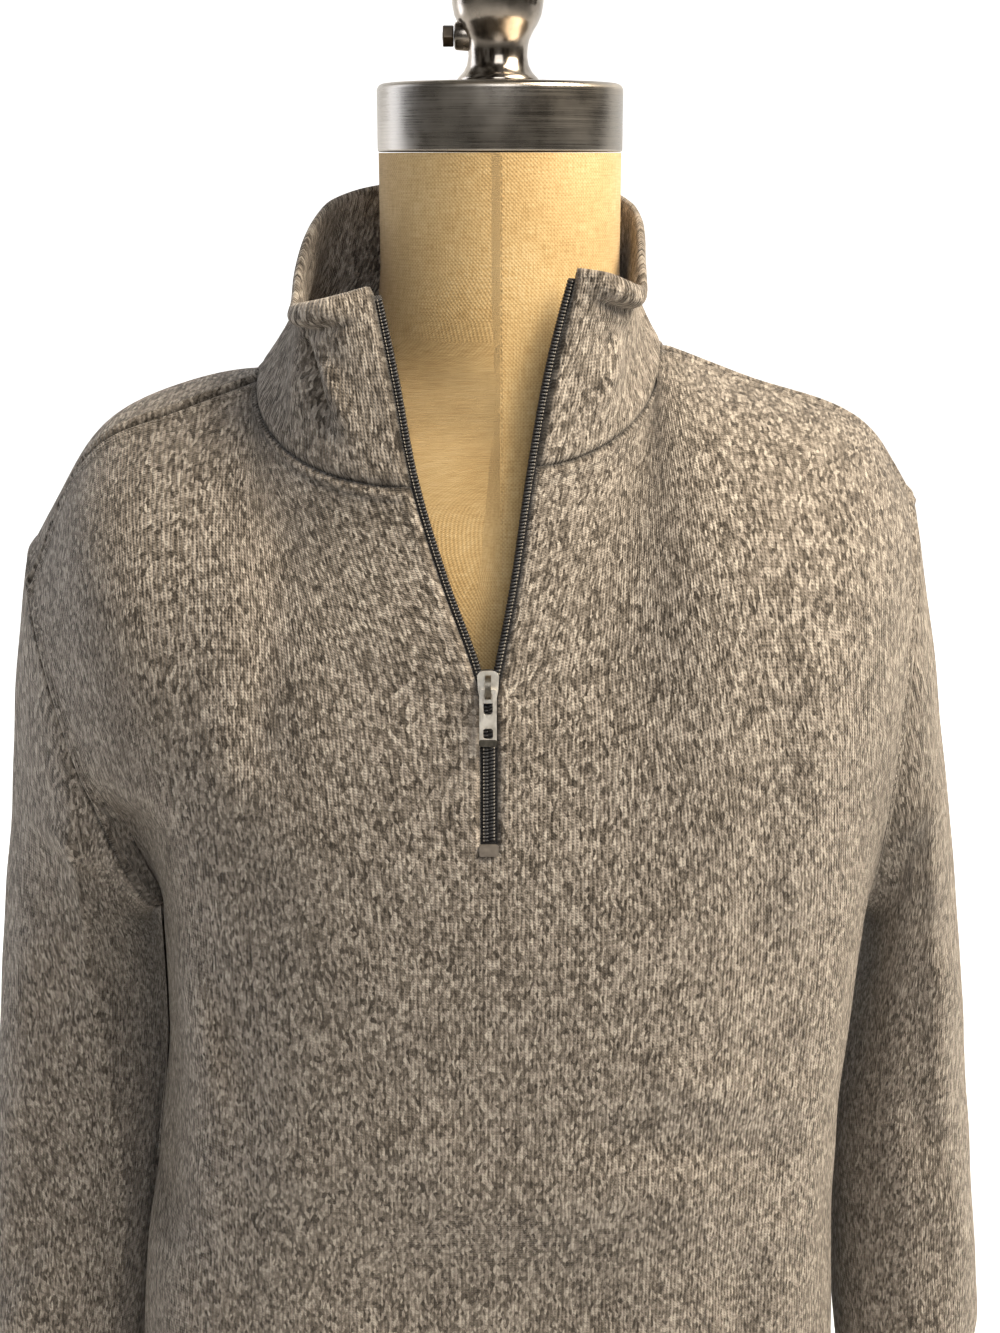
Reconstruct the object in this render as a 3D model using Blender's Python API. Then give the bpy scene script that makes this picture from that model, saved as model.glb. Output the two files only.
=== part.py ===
# Quarter zip sweater worn on a limbless dress form.
# Metres, +Z up. X runs to the right of someone who faces the front, the front faces -Y,
# and the base board rests on z = 0 under the middle of the form.

import math

import bmesh
import bpy
import numpy as np
from mathutils import Matrix, Vector
from mathutils.bvhtree import BVHTree

MM = 0.001

# cloth
CLOTH = 2.2 * MM             # knit wall
COLLAR_CLOTH = 4.6 * MM      # the collar is the same cloth folded double
SEAM_GAP = 0.4 * MM          # between two sewn pieces
COLLAR_EASE = 2.0            # the thicker collar's own share of its seam gap
ARMPIT_EASE = 4.4 * MM       # extra room where the underarm folds sharply
PANEL_COLUMNS = 11           # grid columns on each half of a body panel
SKIRT_ROWS = 9               # grid rows from the hem to the armpit
YOKE_ROWS = 13               # grid rows from the armpit to the shoulder
NECK_COLUMNS = 5             # how many of them end at the neckline, the rest at the shoulder seam
NECK_SHARE = NECK_COLUMNS / PANEL_COLUMNS
CENTRE = -0.005              # the garment hangs a little to one side of the form

# rings of the body, from the hem up to the armpit, as distances from the centre line
BODY_RINGS = np.array([
    # height, left, right, front, back, squareness
    (0.065, 0.196, 0.192, 0.106, 0.106, 2.5),
    (0.140, 0.193, 0.189, 0.109, 0.106, 2.5),
    (0.210, 0.189, 0.186, 0.112, 0.103, 2.5),
    (0.310, 0.179, 0.182, 0.117, 0.098, 2.5),
    (0.380, 0.172, 0.186, 0.122, 0.097, 2.4),
    (0.442, 0.173, 0.192, 0.127, 0.100, 2.3),
])
ARMPIT = BODY_RINGS[-1, 0]

# the two zip lines: closed below the slider, spreading above it
ZIP_LINE = np.array([
    # height, middle, half spread, depth
    (0.5080, -0.0050, 0.00160, -0.1275),
    (0.5450, -0.0050, 0.00160, -0.1235),
    (0.5860, -0.0052, 0.00160, -0.1170),
    (0.6000, -0.0056, 0.00460, -0.1145),
    (0.6383, -0.0092, 0.01580, -0.1000),
    (0.6810, -0.0127, 0.02600, -0.0860),
    (0.7250, -0.0131, 0.03440, -0.0745),
    (0.7677, -0.0122, 0.04440, -0.0620),
])
SLIT_ROW = 4                 # the slit ends this many grid rows above the armpit
SLIT_EDGE = 3.3 * MM         # cloth edge to zip line
SLOT_HALF = 4.9 * MM         # middle of the front to the cloth edge, where the zip is closed
TAPE_REACH = 9.0 * MM        # how far the tape runs under the cloth
TAPE = 0.8 * MM
TAPE_GAP = 0.8 * MM          # between the cloth and the tape behind it
COIL_WIDTH = 2.7 * MM
STOP_HEIGHT = 5.2 * MM
STOP_WIDTH = 9.0 * MM
COIL = 1.8 * MM
COIL_FRONT = COIL + 0.3 * MM - CLOTH / 2 - TAPE_GAP    # the coils' face, off the cloth's middle

# neckline: an oval seen from above, rising from the front to the back
NECK_MIDDLE = (-0.0205, -0.002)
NECK_HALF = 0.098
NECK_FRONT = 0.088
NECK_BACK = 0.066
NECK_BACK_HEIGHT = 0.745
NECK_FRONT_HEIGHT = 0.6815
SLIT_FOOT = ARMPIT + (NECK_FRONT_HEIGHT - ARMPIT) * SLIT_ROW / YOKE_ROWS
NECK_RISE = 1.2              # power of the rise from the front to the side

# collar
COLLAR_HOLLOW = 0.009        # how far its sides curve in between neckline and top edge
COLLAR_TURN = 0.007          # how far the front corners bend in below the edge that falls outward
COLLAR_ROWS = 8

# the collar's top edge, from near its front corner to the middle of the back
COLLAR_TOPS = {
    "left": np.array([
        # share, x, y, z
        (0.10, -0.0760, -0.0665, 0.7600),
        (0.22, -0.0955, -0.0520, 0.7560),
        (0.34, -0.0945, -0.0290, 0.7720),
        (0.50, -0.0870, 0.0010, 0.7940),
        (0.68, -0.0750, 0.0370, 0.8040),
        (0.84, -0.0480, 0.0610, 0.8090),
        (1.00, -0.0097, 0.0690, 0.8110),
    ]),
    "right": np.array([
        (0.10, 0.0500, -0.0640, 0.7700),
        (0.22, 0.0655, -0.0480, 0.7640),
        (0.34, 0.0665, -0.0260, 0.7790),
        (0.50, 0.0660, 0.0010, 0.7950),
        (0.68, 0.0570, 0.0370, 0.8040),
        (0.84, 0.0330, 0.0610, 0.8090),
        (1.00, -0.0097, 0.0690, 0.8110),
    ]),
}

# what differs from one side to the other; left and right as seen from the front
SIDES = {
    "left": {
        "sign": -1,
        "neck_front_height": 0.677,
        "neck_side_height": 0.7165,
        "collar_front_height": 0.7637,
        "seam_lift": 24.0,       # slope of the cloth across the shoulder seam, degrees
        "armhole_start": 33.0,   # where the shoulder seam meets the armhole, degrees from its top
        # shoulder seam from the neck to the armhole
        "shoulder": ((-0.1540, -0.020, 0.7043), (-0.1911, -0.029, 0.6890)),
    },
    "right": {
        "sign": 1,
        "neck_front_height": 0.686,
        "neck_side_height": 0.7325,
        "collar_front_height": 0.7717,
        "seam_lift": 4.0,
        "armhole_start": 8.0,
        "shoulder": ((0.1178, 0.002, 0.7165), (0.1790, 0.001, 0.6935)),
    },
}

WEARER = {"left": "right", "right": "left"}    # the name of each side for the one who wears it

# how the columns of a half panel arrive at its top edge
FRONT_COLUMNS = (
    # share, slope in degrees, part of the seam's own slope added, fullness
    (0.00, 68, 0, 1.0),
    (0.25, 52, 0, 1.1),
    (NECK_SHARE, 18, 0.6, 1.5),
    (0.65, 6, 1, 1.5),
    (1.00, 0, 1, 1.2),
)
BACK_COLUMNS = (
    (0.00, 70, 0, 1.0),
    (0.25, 50, 0, 1.1),
    (NECK_SHARE, 6, 0.8, 1.4),
    (0.65, 0, 1, 1.5),
    (1.00, 0, 1, 1.2),
)

# sleeve sections from the armhole to the cuff; each is an oval between an outer and an inner point,
# with a ridge or a trough down its front at the place given by crest, from 1 outside to -1 inside
SLEEVES = {
    "left": np.array([
        # outer x, y, z, inner x, y, z, front, back, crest, ridge, trough
        (-0.2345, 0.004, 0.632, -0.1780, 0.0040, 0.442, 0.058, 0.064, 0.00, 0.00, 0.000),
        (-0.2410, 0.005, 0.594, -0.1835, 0.0100, 0.439, 0.059, 0.065, -0.08, 0.45, 0.000),
        (-0.2475, 0.006, 0.549, -0.1875, 0.0180, 0.430, 0.058, 0.064, -0.18, 0.80, 0.000),
        (-0.2530, 0.007, 0.500, -0.1890, 0.0250, 0.414, 0.056, 0.063, -0.24, 0.90, 0.000),
        (-0.2610, 0.008, 0.443, -0.1885, 0.0300, 0.388, 0.054, 0.062, -0.28, 0.95, 0.000),
        (-0.2685, 0.008, 0.380, -0.1880, 0.0320, 0.350, 0.052, 0.060, -0.42, 0.95, 0.000),
        (-0.2755, 0.007, 0.315, -0.1905, 0.0300, 0.297, 0.050, 0.058, -0.58, 0.90, 0.002),
        (-0.2820, 0.005, 0.245, -0.1965, 0.0240, 0.238, 0.048, 0.056, -0.70, 0.80, 0.003),
        (-0.2875, 0.002, 0.175, -0.2020, 0.0150, 0.173, 0.045, 0.052, -0.65, 0.60, 0.002),
        (-0.2915, -0.002, 0.115, -0.2080, 0.0040, 0.115, 0.041, 0.047, -0.45, 0.30, 0.001),
        (-0.2920, -0.005, 0.070, -0.2160, -0.0040, 0.070, 0.038, 0.042, -0.25, 0.10, 0.000),
    ]),
    "right": np.array([
        (0.2040, 0.004, 0.657, 0.1870, 0.0040, 0.442, 0.056, 0.062, 0.00, 0.00, 0.000),
        (0.2120, 0.005, 0.615, 0.1925, 0.0090, 0.439, 0.058, 0.064, 0.00, 0.00, 0.001),
        (0.2190, 0.006, 0.571, 0.1960, 0.0160, 0.430, 0.060, 0.066, 0.00, 0.00, 0.002),
        (0.2260, 0.007, 0.524, 0.1960, 0.0220, 0.415, 0.062, 0.067, -0.05, 0.00, 0.003),
        (0.2345, 0.008, 0.472, 0.1935, 0.0260, 0.392, 0.063, 0.068, -0.10, 0.10, 0.005),
        (0.2420, 0.008, 0.414, 0.1900, 0.0280, 0.358, 0.063, 0.068, -0.05, 0.20, 0.006),
        (0.2490, 0.007, 0.347, 0.1850, 0.0260, 0.312, 0.061, 0.067, 0.05, 0.20, 0.006),
        (0.2570, 0.005, 0.277, 0.1855, 0.0200, 0.262, 0.058, 0.064, 0.25, 0.30, 0.005),
        (0.2650, 0.002, 0.200, 0.1895, 0.0120, 0.197, 0.053, 0.058, 0.20, 0.30, 0.003),
        (0.2715, -0.002, 0.130, 0.1960, 0.0030, 0.130, 0.046, 0.050, 0.10, 0.20, 0.001),
        (0.2740, -0.005, 0.075, 0.2020, -0.0040, 0.075, 0.040, 0.044, 0.00, 0.05, 0.000),
    ]),
}
SLEEVE_RINGS = 17

# broad folds: a line on the front or back, its height off the cloth and its half width
FOLDS = np.array([
    # x low, z low, x high, z high, height, half width, front -1 or back +1
    (-0.1740, 0.300, -0.1780, 0.500, -0.0260, 0.021, -1),
    (-0.1780, 0.180, -0.1500, 0.420, 0.0050, 0.018, -1),
    (-0.1420, 0.250, -0.1150, 0.480, -0.0030, 0.022, -1),
    (0.1600, 0.260, 0.1700, 0.440, 0.0040, 0.022, -1),
    (0.1250, 0.240, 0.1350, 0.470, -0.0030, 0.024, -1),
    (-0.1300, 0.180, -0.0900, 0.460, 0.0040, 0.028, 1),
    (0.1250, 0.180, 0.0950, 0.460, 0.0040, 0.028, 1),
    (-0.0200, 0.120, -0.0100, 0.400, -0.0030, 0.030, 1),
])

# dress form
FORM_RINGS = np.array([
    # height, half width, front, back, squareness
    (0.0203, 0.150, 0.088, 0.088, 2.3),
    (0.100, 0.158, 0.091, 0.092, 2.3),
    (0.160, 0.157, 0.090, 0.090, 2.3),
    (0.240, 0.141, 0.086, 0.082, 2.2),
    (0.330, 0.120, 0.083, 0.074, 2.2),
    (0.400, 0.127, 0.091, 0.078, 2.2),
    (0.460, 0.144, 0.105, 0.084, 2.2),
    (0.510, 0.154, 0.110, 0.087, 2.2),
    (0.560, 0.168, 0.104, 0.089, 2.2),
    (0.600, 0.178, 0.096, 0.089, 2.1),
    (0.630, 0.184, 0.089, 0.086, 1.9),
    (0.655, 0.187, 0.081, 0.080, 1.7),
    (0.672, 0.184, 0.076, 0.075, 1.6),
    (0.688, 0.172, 0.071, 0.070, 1.5),
    (0.700, 0.152, 0.066, 0.064, 1.4),
    (0.708, 0.130, 0.064, 0.061, 1.4),
    (0.716, 0.102, 0.062, 0.059, 1.45),
    (0.726, 0.077, 0.0603, 0.0582, 1.6),
    (0.740, 0.0635, 0.0588, 0.0578, 1.8),
    (0.758, 0.0585, 0.0580, 0.0576, 2.0),
    (0.780, 0.0575, 0.0575, 0.0575, 2.0),
    (0.8237, 0.0575, 0.0575, 0.0575, 2.0),
])
FORM_STEPS = (0.019, 0.0055, 0.019)    # spacing of its rings: below, over and above the shoulders
FORM_AROUND = 44
FORM_CLEAR = 0.7 * MM        # space between the form and the cloth where it rests, on the shoulders
FORM_FREE = 4.0 * MM         # least space elsewhere
SHOULDER_REST = (0.115, 0.140)    # the cloth starts to rest on the form between these distances

BASE_HEIGHT = 20 * MM
BASE_HALF = (0.156, 0.094)
CAP_FOOT = 0.824
CAP_TOP = 0.855
CAP_RADIUS = 0.058
FINIAL_X = -0.001
FINIAL_PROFILE = np.array([
    # height above the cap, radius
    (0.0003, 0.0190),
    (0.0030, 0.0190),
    (0.0055, 0.0165),
    (0.0125, 0.0140),
    (0.0200, 0.0150),
    (0.0270, 0.0190),
    (0.0350, 0.0213),
    (0.0470, 0.0213),
    (0.0560, 0.0190),
    (0.0640, 0.0145),
    (0.0700, 0.0075),
    (0.0715, 0.0020),
])
BOSS_RADIUS = 6.5 * MM
BOSS_REACH = 20.5 * MM       # from the finial's middle
BOLT_HEIGHT = 0.0215         # above the cap
BOLT_BORE = 3.4 * MM
BOLT_SHANK = 3.0 * MM
BOLT_HEAD = 5.6 * MM         # across the corners, halved
BOLT_HEAD_LENGTH = 5.0 * MM

# slider and pull tab, measured along the zip from the slider's middle
SLIDER_HEIGHT = 0.5930
SLIDER_LEAN = math.radians(9.5)
SLIDER_WIDTH = 10.0 * MM
SLIDER_LENGTH = 15.0 * MM
SLIDER_PLATE = 1.5 * MM
BAIL_WIDTH = 2.6 * MM
BAIL_LENGTH = 11.0 * MM
BAIL_RISE = 5.2 * MM
BAIL_BAR = 1.3 * MM
PIN_RADIUS = 0.8 * MM
PIN_DROP = 1.6 * MM          # the pin hangs this far below the slider's middle
PULL_WIDTH = 7.4 * MM
PULL_LENGTH = 26.0 * MM
PULL_PLATE = 1.6 * MM
PULL_WINDOW = (4.2 * MM, 11.0 * MM)

PAINTS = {
    # name: colour, roughness, metallic
    "knit": ((0.235, 0.205, 0.180), 0.95, 0.0),
    "zip_tape": ((0.030, 0.031, 0.036), 0.85, 0.0),
    "zip_coil": ((0.026, 0.027, 0.032), 0.45, 0.0),
    "pewter": ((0.300, 0.295, 0.285), 0.35, 1.0),
    "canvas": ((0.560, 0.430, 0.270), 0.90, 0.0),
    "steel": ((0.520, 0.520, 0.510), 0.30, 1.0),
    "board": ((0.180, 0.110, 0.060), 0.60, 0.0),
}


def clear_scene():
    for thing in list(bpy.data.objects):
        bpy.data.objects.remove(thing, do_unlink=True)


def paint(name):
    found = bpy.data.materials.get(name)
    if found:
        return found
    colour, roughness, metallic = PAINTS[name]
    material = bpy.data.materials.new(name)
    material.use_nodes = True
    shader = material.node_tree.nodes["Principled BSDF"]
    shader.inputs["Base Color"].default_value = (*colour, 1.0)
    shader.inputs["Roughness"].default_value = roughness
    shader.inputs["Metallic"].default_value = metallic
    return material


def add_mesh(name, points, faces, paint_name, smooth=True):
    mesh = bpy.data.meshes.new(name)
    mesh.from_pydata([tuple(point) for point in points], [], faces)
    mesh.materials.append(paint(paint_name))
    mesh.validate()
    if smooth:
        mesh.shade_smooth()
    thing = bpy.data.objects.new(name, mesh)
    bpy.context.scene.collection.objects.link(thing)
    return thing


def unit(vectors):
    length = np.linalg.norm(vectors, axis=-1, keepdims=True)
    return vectors / np.maximum(length, 1e-12)


def smooth_table(table, at):
    """Rows of a table at new values of its first column, on smooth curves with no overshoot."""
    at = np.clip(np.asarray(at, float), table[0, 0], table[-1, 0])
    keys = table[:, 0]
    step = np.diff(keys)[:, None]
    rate = np.diff(table[:, 1:], axis=0) / step
    slope = np.vstack([rate[:1], 0.5 * (rate[1:] + rate[:-1]), rate[-1:]])
    turned = rate[1:] * rate[:-1] <= 0
    slope[1:-1][turned] = 0
    spot = np.clip(np.searchsorted(keys, at, side="right") - 1, 0, len(keys) - 2)
    width = step[spot]
    share = ((at - keys[spot])[..., None]) / width
    low, high = table[spot, 1:], table[spot + 1, 1:]
    return (low * (1 + 2 * share) * (1 - share) ** 2 + high * share ** 2 * (3 - 2 * share)
            + width * (slope[spot] * share * (1 - share) ** 2
                       - slope[spot + 1] * share ** 2 * (1 - share)))


def quarter_ring(half_width, half_depth, squareness, start, shares):
    """Across and depth values spread evenly along a quarter oval, from near its middle to its side."""
    turn = np.linspace(0, math.pi / 2, 181)
    across = half_width * np.sin(turn) ** (2 / squareness)
    deep = half_depth * np.cos(turn) ** (2 / squareness)
    run = np.concatenate(([0], np.cumsum(np.hypot(np.diff(across), np.diff(deep)))))
    wanted = start + (run[-1] - start) * shares
    return np.interp(wanted, run, across), np.interp(wanted, run, deep)


# ---- lines that the cloth pieces share ----

def zip_line(side, heights):
    rows = smooth_table(ZIP_LINE, heights)
    sign = SIDES[side]["sign"]
    return np.stack([rows[..., 0] + sign * rows[..., 1], rows[..., 2], np.asarray(heights)], -1)


def slit_edge(side, heights, out=SLIT_EDGE):
    sign = SIDES[side]["sign"]
    away = unit(np.array([sign, 0.18, 0.12]))
    return zip_line(side, heights) + out * away


def neckline(side, shares, back=False):
    """From the front edge or the middle of the back (share 0) to the shoulder seam (share 1)."""
    info = SIDES[side]
    shares = np.asarray(shares, float)
    middle_x, middle_y = NECK_MIDDLE
    if back:
        turn = shares * math.pi / 2
        x = middle_x + info["sign"] * NECK_HALF * np.sin(turn)
        y = middle_y + NECK_BACK * np.cos(turn)
        z = NECK_BACK_HEIGHT + (info["neck_side_height"] - NECK_BACK_HEIGHT) * (1 - np.cos(turn))
        return np.stack([x, y, z], -1)
    edge = slit_edge(side, np.array([info["neck_front_height"]]))[0]
    start = math.asin(min(1, abs(edge[0] - middle_x) / NECK_HALF))
    turn = start + shares * (math.pi / 2 - start)
    x = middle_x + info["sign"] * NECK_HALF * np.sin(turn)
    y = middle_y - NECK_FRONT * np.cos(turn)
    rise = ((math.cos(start) - np.cos(turn)) / math.cos(start)) ** NECK_RISE
    z = info["neck_front_height"] + (info["neck_side_height"] - info["neck_front_height"]) * rise
    oval = np.stack([x, y, z], -1)
    settle = np.clip(1 - shares / 0.4, 0, 1) ** 2
    return oval + (edge - oval[0]) * settle[..., None]


def armhole(side, angles):
    return sleeve_oval(SLEEVES[side][0], angles)


def sleeve_oval(row, angles):
    """Points of a sleeve section; angle 0 is its outer point, pi its inner one, negative the back."""
    outer, inner = row[0:3], row[3:6]
    front, back, crest, ridge, trough = row[6:]
    along = np.cos(angles)
    points = (outer + inner) / 2 + along[..., None] * (outer - inner) / 2
    shifted = np.where(along > crest, (along - crest) / (1 - crest), (along - crest) / (1 + crest))
    round_depth = np.abs(np.sin(angles))
    sharp_depth = np.sqrt(np.maximum(1 - np.abs(shifted), 0))
    dip = trough * np.exp(-((along - crest) / 0.28) ** 2)
    front_depth = front * ((1 - ridge) * round_depth + ridge * sharp_depth) - dip
    depth = np.where(angles > 0, -front_depth, back * round_depth)
    points[..., 1] += depth
    return points


def shoulder_seam(side, shares):
    """From the neckline (share 0) to the armhole (share 1)."""
    info = SIDES[side]
    start = neckline(side, np.array([1.0]))[0]
    end = armhole(side, np.array([math.radians(info["armhole_start"])]))[0]
    stops = np.array([start, *info["shoulder"], end])
    run = np.concatenate(([0], np.cumsum(np.linalg.norm(np.diff(stops, axis=0), axis=1))))
    table = np.column_stack([run / run[-1], stops])
    return smooth_table(table, shares)


# ---- body panels ----

def half_panel(side, back):
    """Grid of points, rows from the hem up and columns from the middle to the side seam."""
    info = SIDES[side]
    sign = info["sign"]
    shares = np.linspace(0, 1, PANEL_COLUMNS + 1)
    start = 0.0 if back else SLOT_HALF

    def ring(height):
        left, right, front_depth, back_depth, squareness = smooth_table(BODY_RINGS, np.array([height]))[0]
        across, deep = quarter_ring(left if sign < 0 else right, back_depth if back else front_depth,
                                    squareness, start, shares)
        y = deep if back else -deep
        return np.stack([CENTRE + sign * across, y, np.full_like(across, height)], -1)

    skirt = [ring(height) for height in np.linspace(BODY_RINGS[0, 0], ARMPIT, SKIRT_ROWS + 1)]
    base = skirt[-1]
    rising = unit(base - ring(ARMPIT - 0.01))

    on_neck = shares <= NECK_SHARE + 1e-9
    neck_shares = shares[on_neck] / shares[on_neck][-1]
    seam_shares = (shares[~on_neck] - shares[on_neck][-1]) / (1 - shares[on_neck][-1])
    top = np.vstack([neckline(side, neck_shares, back), shoulder_seam(side, seam_shares)])
    columns = np.array(BACK_COLUMNS if back else FRONT_COLUMNS)
    lift = info["seam_lift"] * (-1 if back else 1)
    angle = np.radians(np.interp(shares, columns[:, 0], columns[:, 1])
                       + np.interp(shares, columns[:, 0], columns[:, 2]) * lift)
    arriving = np.stack([np.zeros_like(angle), np.cos(angle) * (-1 if back else 1), np.sin(angle)], -1)
    chord = np.linalg.norm(top - base, axis=1, keepdims=True)
    fullness = np.interp(shares, columns[:, 0], columns[:, 3])[:, None]
    begin = math.radians(180 if not back else -180)
    finish = math.radians(info["armhole_start"])
    rows = []
    for step in np.linspace(0, 1, YOKE_ROWS + 1)[1:]:
        row = (base * (1 + 2 * step) * (1 - step) ** 2 + top * step ** 2 * (3 - 2 * step)
               + chord * (rising * step * (1 - step) ** 2 - fullness * arriving * step ** 2 * (1 - step)))
        edge_angle = begin + (finish - begin) * step
        wanted = armhole(side, np.array([edge_angle]))[0]
        row = row + (shares[:, None] ** 5) * (wanted - row[-1])
        if not back:
            low_height = (ARMPIT + (NECK_FRONT_HEIGHT - ARMPIT) * step
                          + (info["neck_front_height"] - NECK_FRONT_HEIGHT) * step ** 4)
            if low_height >= ZIP_LINE[0, 0]:
                middle = slit_edge(side, np.array([low_height]))[0]
            else:
                fade = (low_height - ARMPIT) / (ZIP_LINE[0, 0] - ARMPIT)
                foot = slit_edge(side, np.array([ZIP_LINE[0, 0]]))[0]
                middle = base[0] + (foot - base[0]) * fade
            row = row + ((1 - shares[:, None]) ** 3) * (middle - row[0])
        rows.append(row)
    grid = np.array(skirt + rows)
    inside = np.ones(grid.shape[:2])
    inside[:, -1] = 0
    inside[-1] = 0
    inside[:, 0] = 1 if back else 0
    return fold_cloth(grid, inside, 1 if back else -1)


def fold_cloth(grid, amount, face):
    lift = np.zeros(grid.shape[:2])
    for x_low, z_low, x_high, z_high, height, half_width, on_face in FOLDS:
        if on_face != face:
            continue
        line = np.array([x_high - x_low, z_high - z_low])
        spot = grid[..., [0, 2]] - np.array([x_low, z_low])
        along = np.clip((spot @ line) / (line @ line), 0, 1)
        away = np.linalg.norm(spot - along[..., None] * line, axis=-1)
        lift += height * np.exp(-(away / half_width) ** 2)
    moved = grid.copy()
    moved[..., 1] += face * lift * amount
    return moved


def body_grids():
    """Front and back panels, each as one grid from the left side seam to the right one."""
    grids = {}
    for name, back in (("front_panel", False), ("back_panel", True)):
        left = half_panel("left", back)
        right = half_panel("right", back)
        if back:
            join = (left[:, :1] + right[:, :1]) / 2
            grids[name] = np.concatenate([left[:, :0:-1], join, right[:, 1:]], axis=1)
        else:
            grids[name] = np.concatenate([left[:, ::-1], right], axis=1)
    return grids


# ---- sleeves and collar ----

def armhole_angles(side):
    """The angles of the panels' side columns, front half then back half, so the sleeve meets each point."""
    finish = math.radians(SIDES[side]["armhole_start"])
    steps = np.linspace(0, 1, YOKE_ROWS + 1)
    front = math.pi + (finish - math.pi) * steps
    back = -math.pi + (finish + math.pi) * steps
    return np.concatenate([front, back[::-1][1:-1]])


def sleeve_grid(side):
    """Rings from the armhole to the cuff; each ring starts at the armpit and goes round by the front."""
    angles = armhole_angles(side)
    rows = SLEEVES[side]
    keyed = np.column_stack([np.linspace(0, 1, len(rows)), rows])
    sections = smooth_table(keyed, np.linspace(0, 1, SLEEVE_RINGS))
    grid = np.array([sleeve_oval(row, angles) for row in sections])
    grid[0] = armhole(side, angles)
    return grid


def collar_top(side, shares):
    """The collar's top edge, from the front corner (share 0) to the middle of the back (share 1)."""
    table = COLLAR_TOPS[side]
    corner = slit_edge(side, np.array([SIDES[side]["collar_front_height"]]))[0]
    return smooth_table(np.vstack([[0.0, *corner], table]), shares)


def collar_half(side):
    """Rows from the neckline up, columns from the front edge to the middle of the back."""
    steps = np.linspace(0, 1, COLLAR_ROWS + 1)
    front = np.linspace(0, 1, NECK_COLUMNS + 1)
    base = np.vstack([neckline(side, front), neckline(side, front[::-1][1:], True)])
    shares = np.linspace(0, 1, len(base))
    top = collar_top(side, shares)
    outward = unit((base - np.array([*NECK_MIDDLE, 0.0])) * np.array([1, 1, 0]))
    hollow = COLLAR_HOLLOW * np.clip(3.5 * shares * (1.15 - shares), 0, 1)
    turn_out = COLLAR_TURN * np.exp(-((shares - 0.2) / 0.12) ** 2)
    rows = []
    for step in steps:
        inward = hollow * math.sin(math.pi * step) * (1 - step) ** 0.5
        inward = inward + turn_out * math.exp(-((step - 0.72) / 0.2) ** 2)
        row = base + (top - base) * step - outward * inward[:, None]
        edge = slit_edge(side, row[:1, 2])[0]
        rows.append(row + (edge - row[0]) * np.clip(1 - shares / 0.3, 0, 1)[:, None] ** 2)
    return np.array(rows)


def collar_grid():
    """Columns from the left front edge round the back to the right one."""
    left, right = collar_half("left"), collar_half("right")
    return np.concatenate([left, right[:, -2::-1]], axis=1)


# ---- shells ----

def grid_normals(grid, present, wrap, flip):
    points = np.concatenate([grid, grid[:, :1]], axis=1) if wrap else grid
    a, b = points[:-1, :-1], points[:-1, 1:]
    c, d = points[1:, 1:], points[1:, :-1]
    face = np.cross(c - a, d - b) * (-1 if flip else 1)
    face[~present] = 0
    total = np.zeros_like(points)
    total[:-1, :-1] += face
    total[:-1, 1:] += face
    total[1:, 1:] += face
    total[1:, :-1] += face
    if wrap:
        total[:, 0] += total[:, -1]
        total = total[:, :-1]
    return total


def place_key(point):
    return tuple(np.round(point / 2e-5).astype(int))


def share_normals(pieces):
    """Normals of all the cloth, equal where two pieces meet at a seam."""
    sums = {}
    for piece in pieces.values():
        piece["normal"] = grid_normals(piece["grid"], piece["present"], piece["wrap"], piece["flip"])
        for point, normal in zip(piece["grid"].reshape(-1, 3), piece["normal"].reshape(-1, 3)):
            key = place_key(point)
            sums[key] = sums.get(key, 0) + unit(normal)
    for piece in pieces.values():
        flat = [sums[place_key(point)] for point in piece["grid"].reshape(-1, 3)]
        piece["normal"] = unit(np.array(flat).reshape(piece["grid"].shape))


def pull_back(piece):
    """Moves the seam edges half a gap into their own piece, square to the seam."""
    grid, normal = piece["grid"], piece["normal"]
    shift = np.zeros_like(grid)

    def edge(line, inner, normals, closed):
        if closed:
            along = np.roll(line, -1, 0) - np.roll(line, 1, 0)
        else:
            along = np.gradient(line, axis=0)
        along = unit(along)
        inward = inner - line
        inward = inward - (inward * normals).sum(-1, keepdims=True) * normals
        square = unit(np.cross(normals, along))
        way = np.sign((square * inward).sum(-1, keepdims=True))
        return square * way * SEAM_GAP / 2

    if "low" in piece["seams"]:
        pull = edge(grid[0], grid[1], normal[0], piece["wrap"])
        if piece["wrap"]:
            rows = np.arange(len(pull))
            from_armpit = np.minimum(rows, len(pull) - rows)[:, None]
            pull = pull * (1 + ARMPIT_EASE / SEAM_GAP * np.clip(1 - from_armpit / 4, 0, 1))
        else:
            pull = pull * COLLAR_EASE
        shift[0] += pull
    if "high" in piece["seams"]:
        shift[-1] += edge(grid[-1], grid[-2], normal[-1], piece["wrap"])
    if "sides" in piece["seams"]:
        shift[:, 0] += edge(grid[:, 0], grid[:, 1], normal[:, 0], False)
        shift[:, -1] += edge(grid[:, -1], grid[:, -2], normal[:, -1], False)
    return grid + shift


def shell_faces(rows, columns, present, wrap):
    """Faces of a wall whose outer points come first and inner points second."""
    count = rows * columns
    faces = []
    rim = {}
    wide = columns if wrap else columns - 1
    for row in range(rows - 1):
        for column in range(wide):
            if not present[row, column]:
                continue
            after = (column + 1) % columns
            corners = [row * columns + column, row * columns + after,
                       (row + 1) * columns + after, (row + 1) * columns + column]
            faces.append(corners)
            faces.append([corner + count for corner in reversed(corners)])
            for here, there in zip(corners, corners[1:] + corners[:1]):
                if (there, here) in rim:
                    del rim[(there, here)]
                else:
                    rim[(here, there)] = True
    for here, there in rim:
        faces.append([there, here, here + count, there + count])
    return faces


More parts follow.
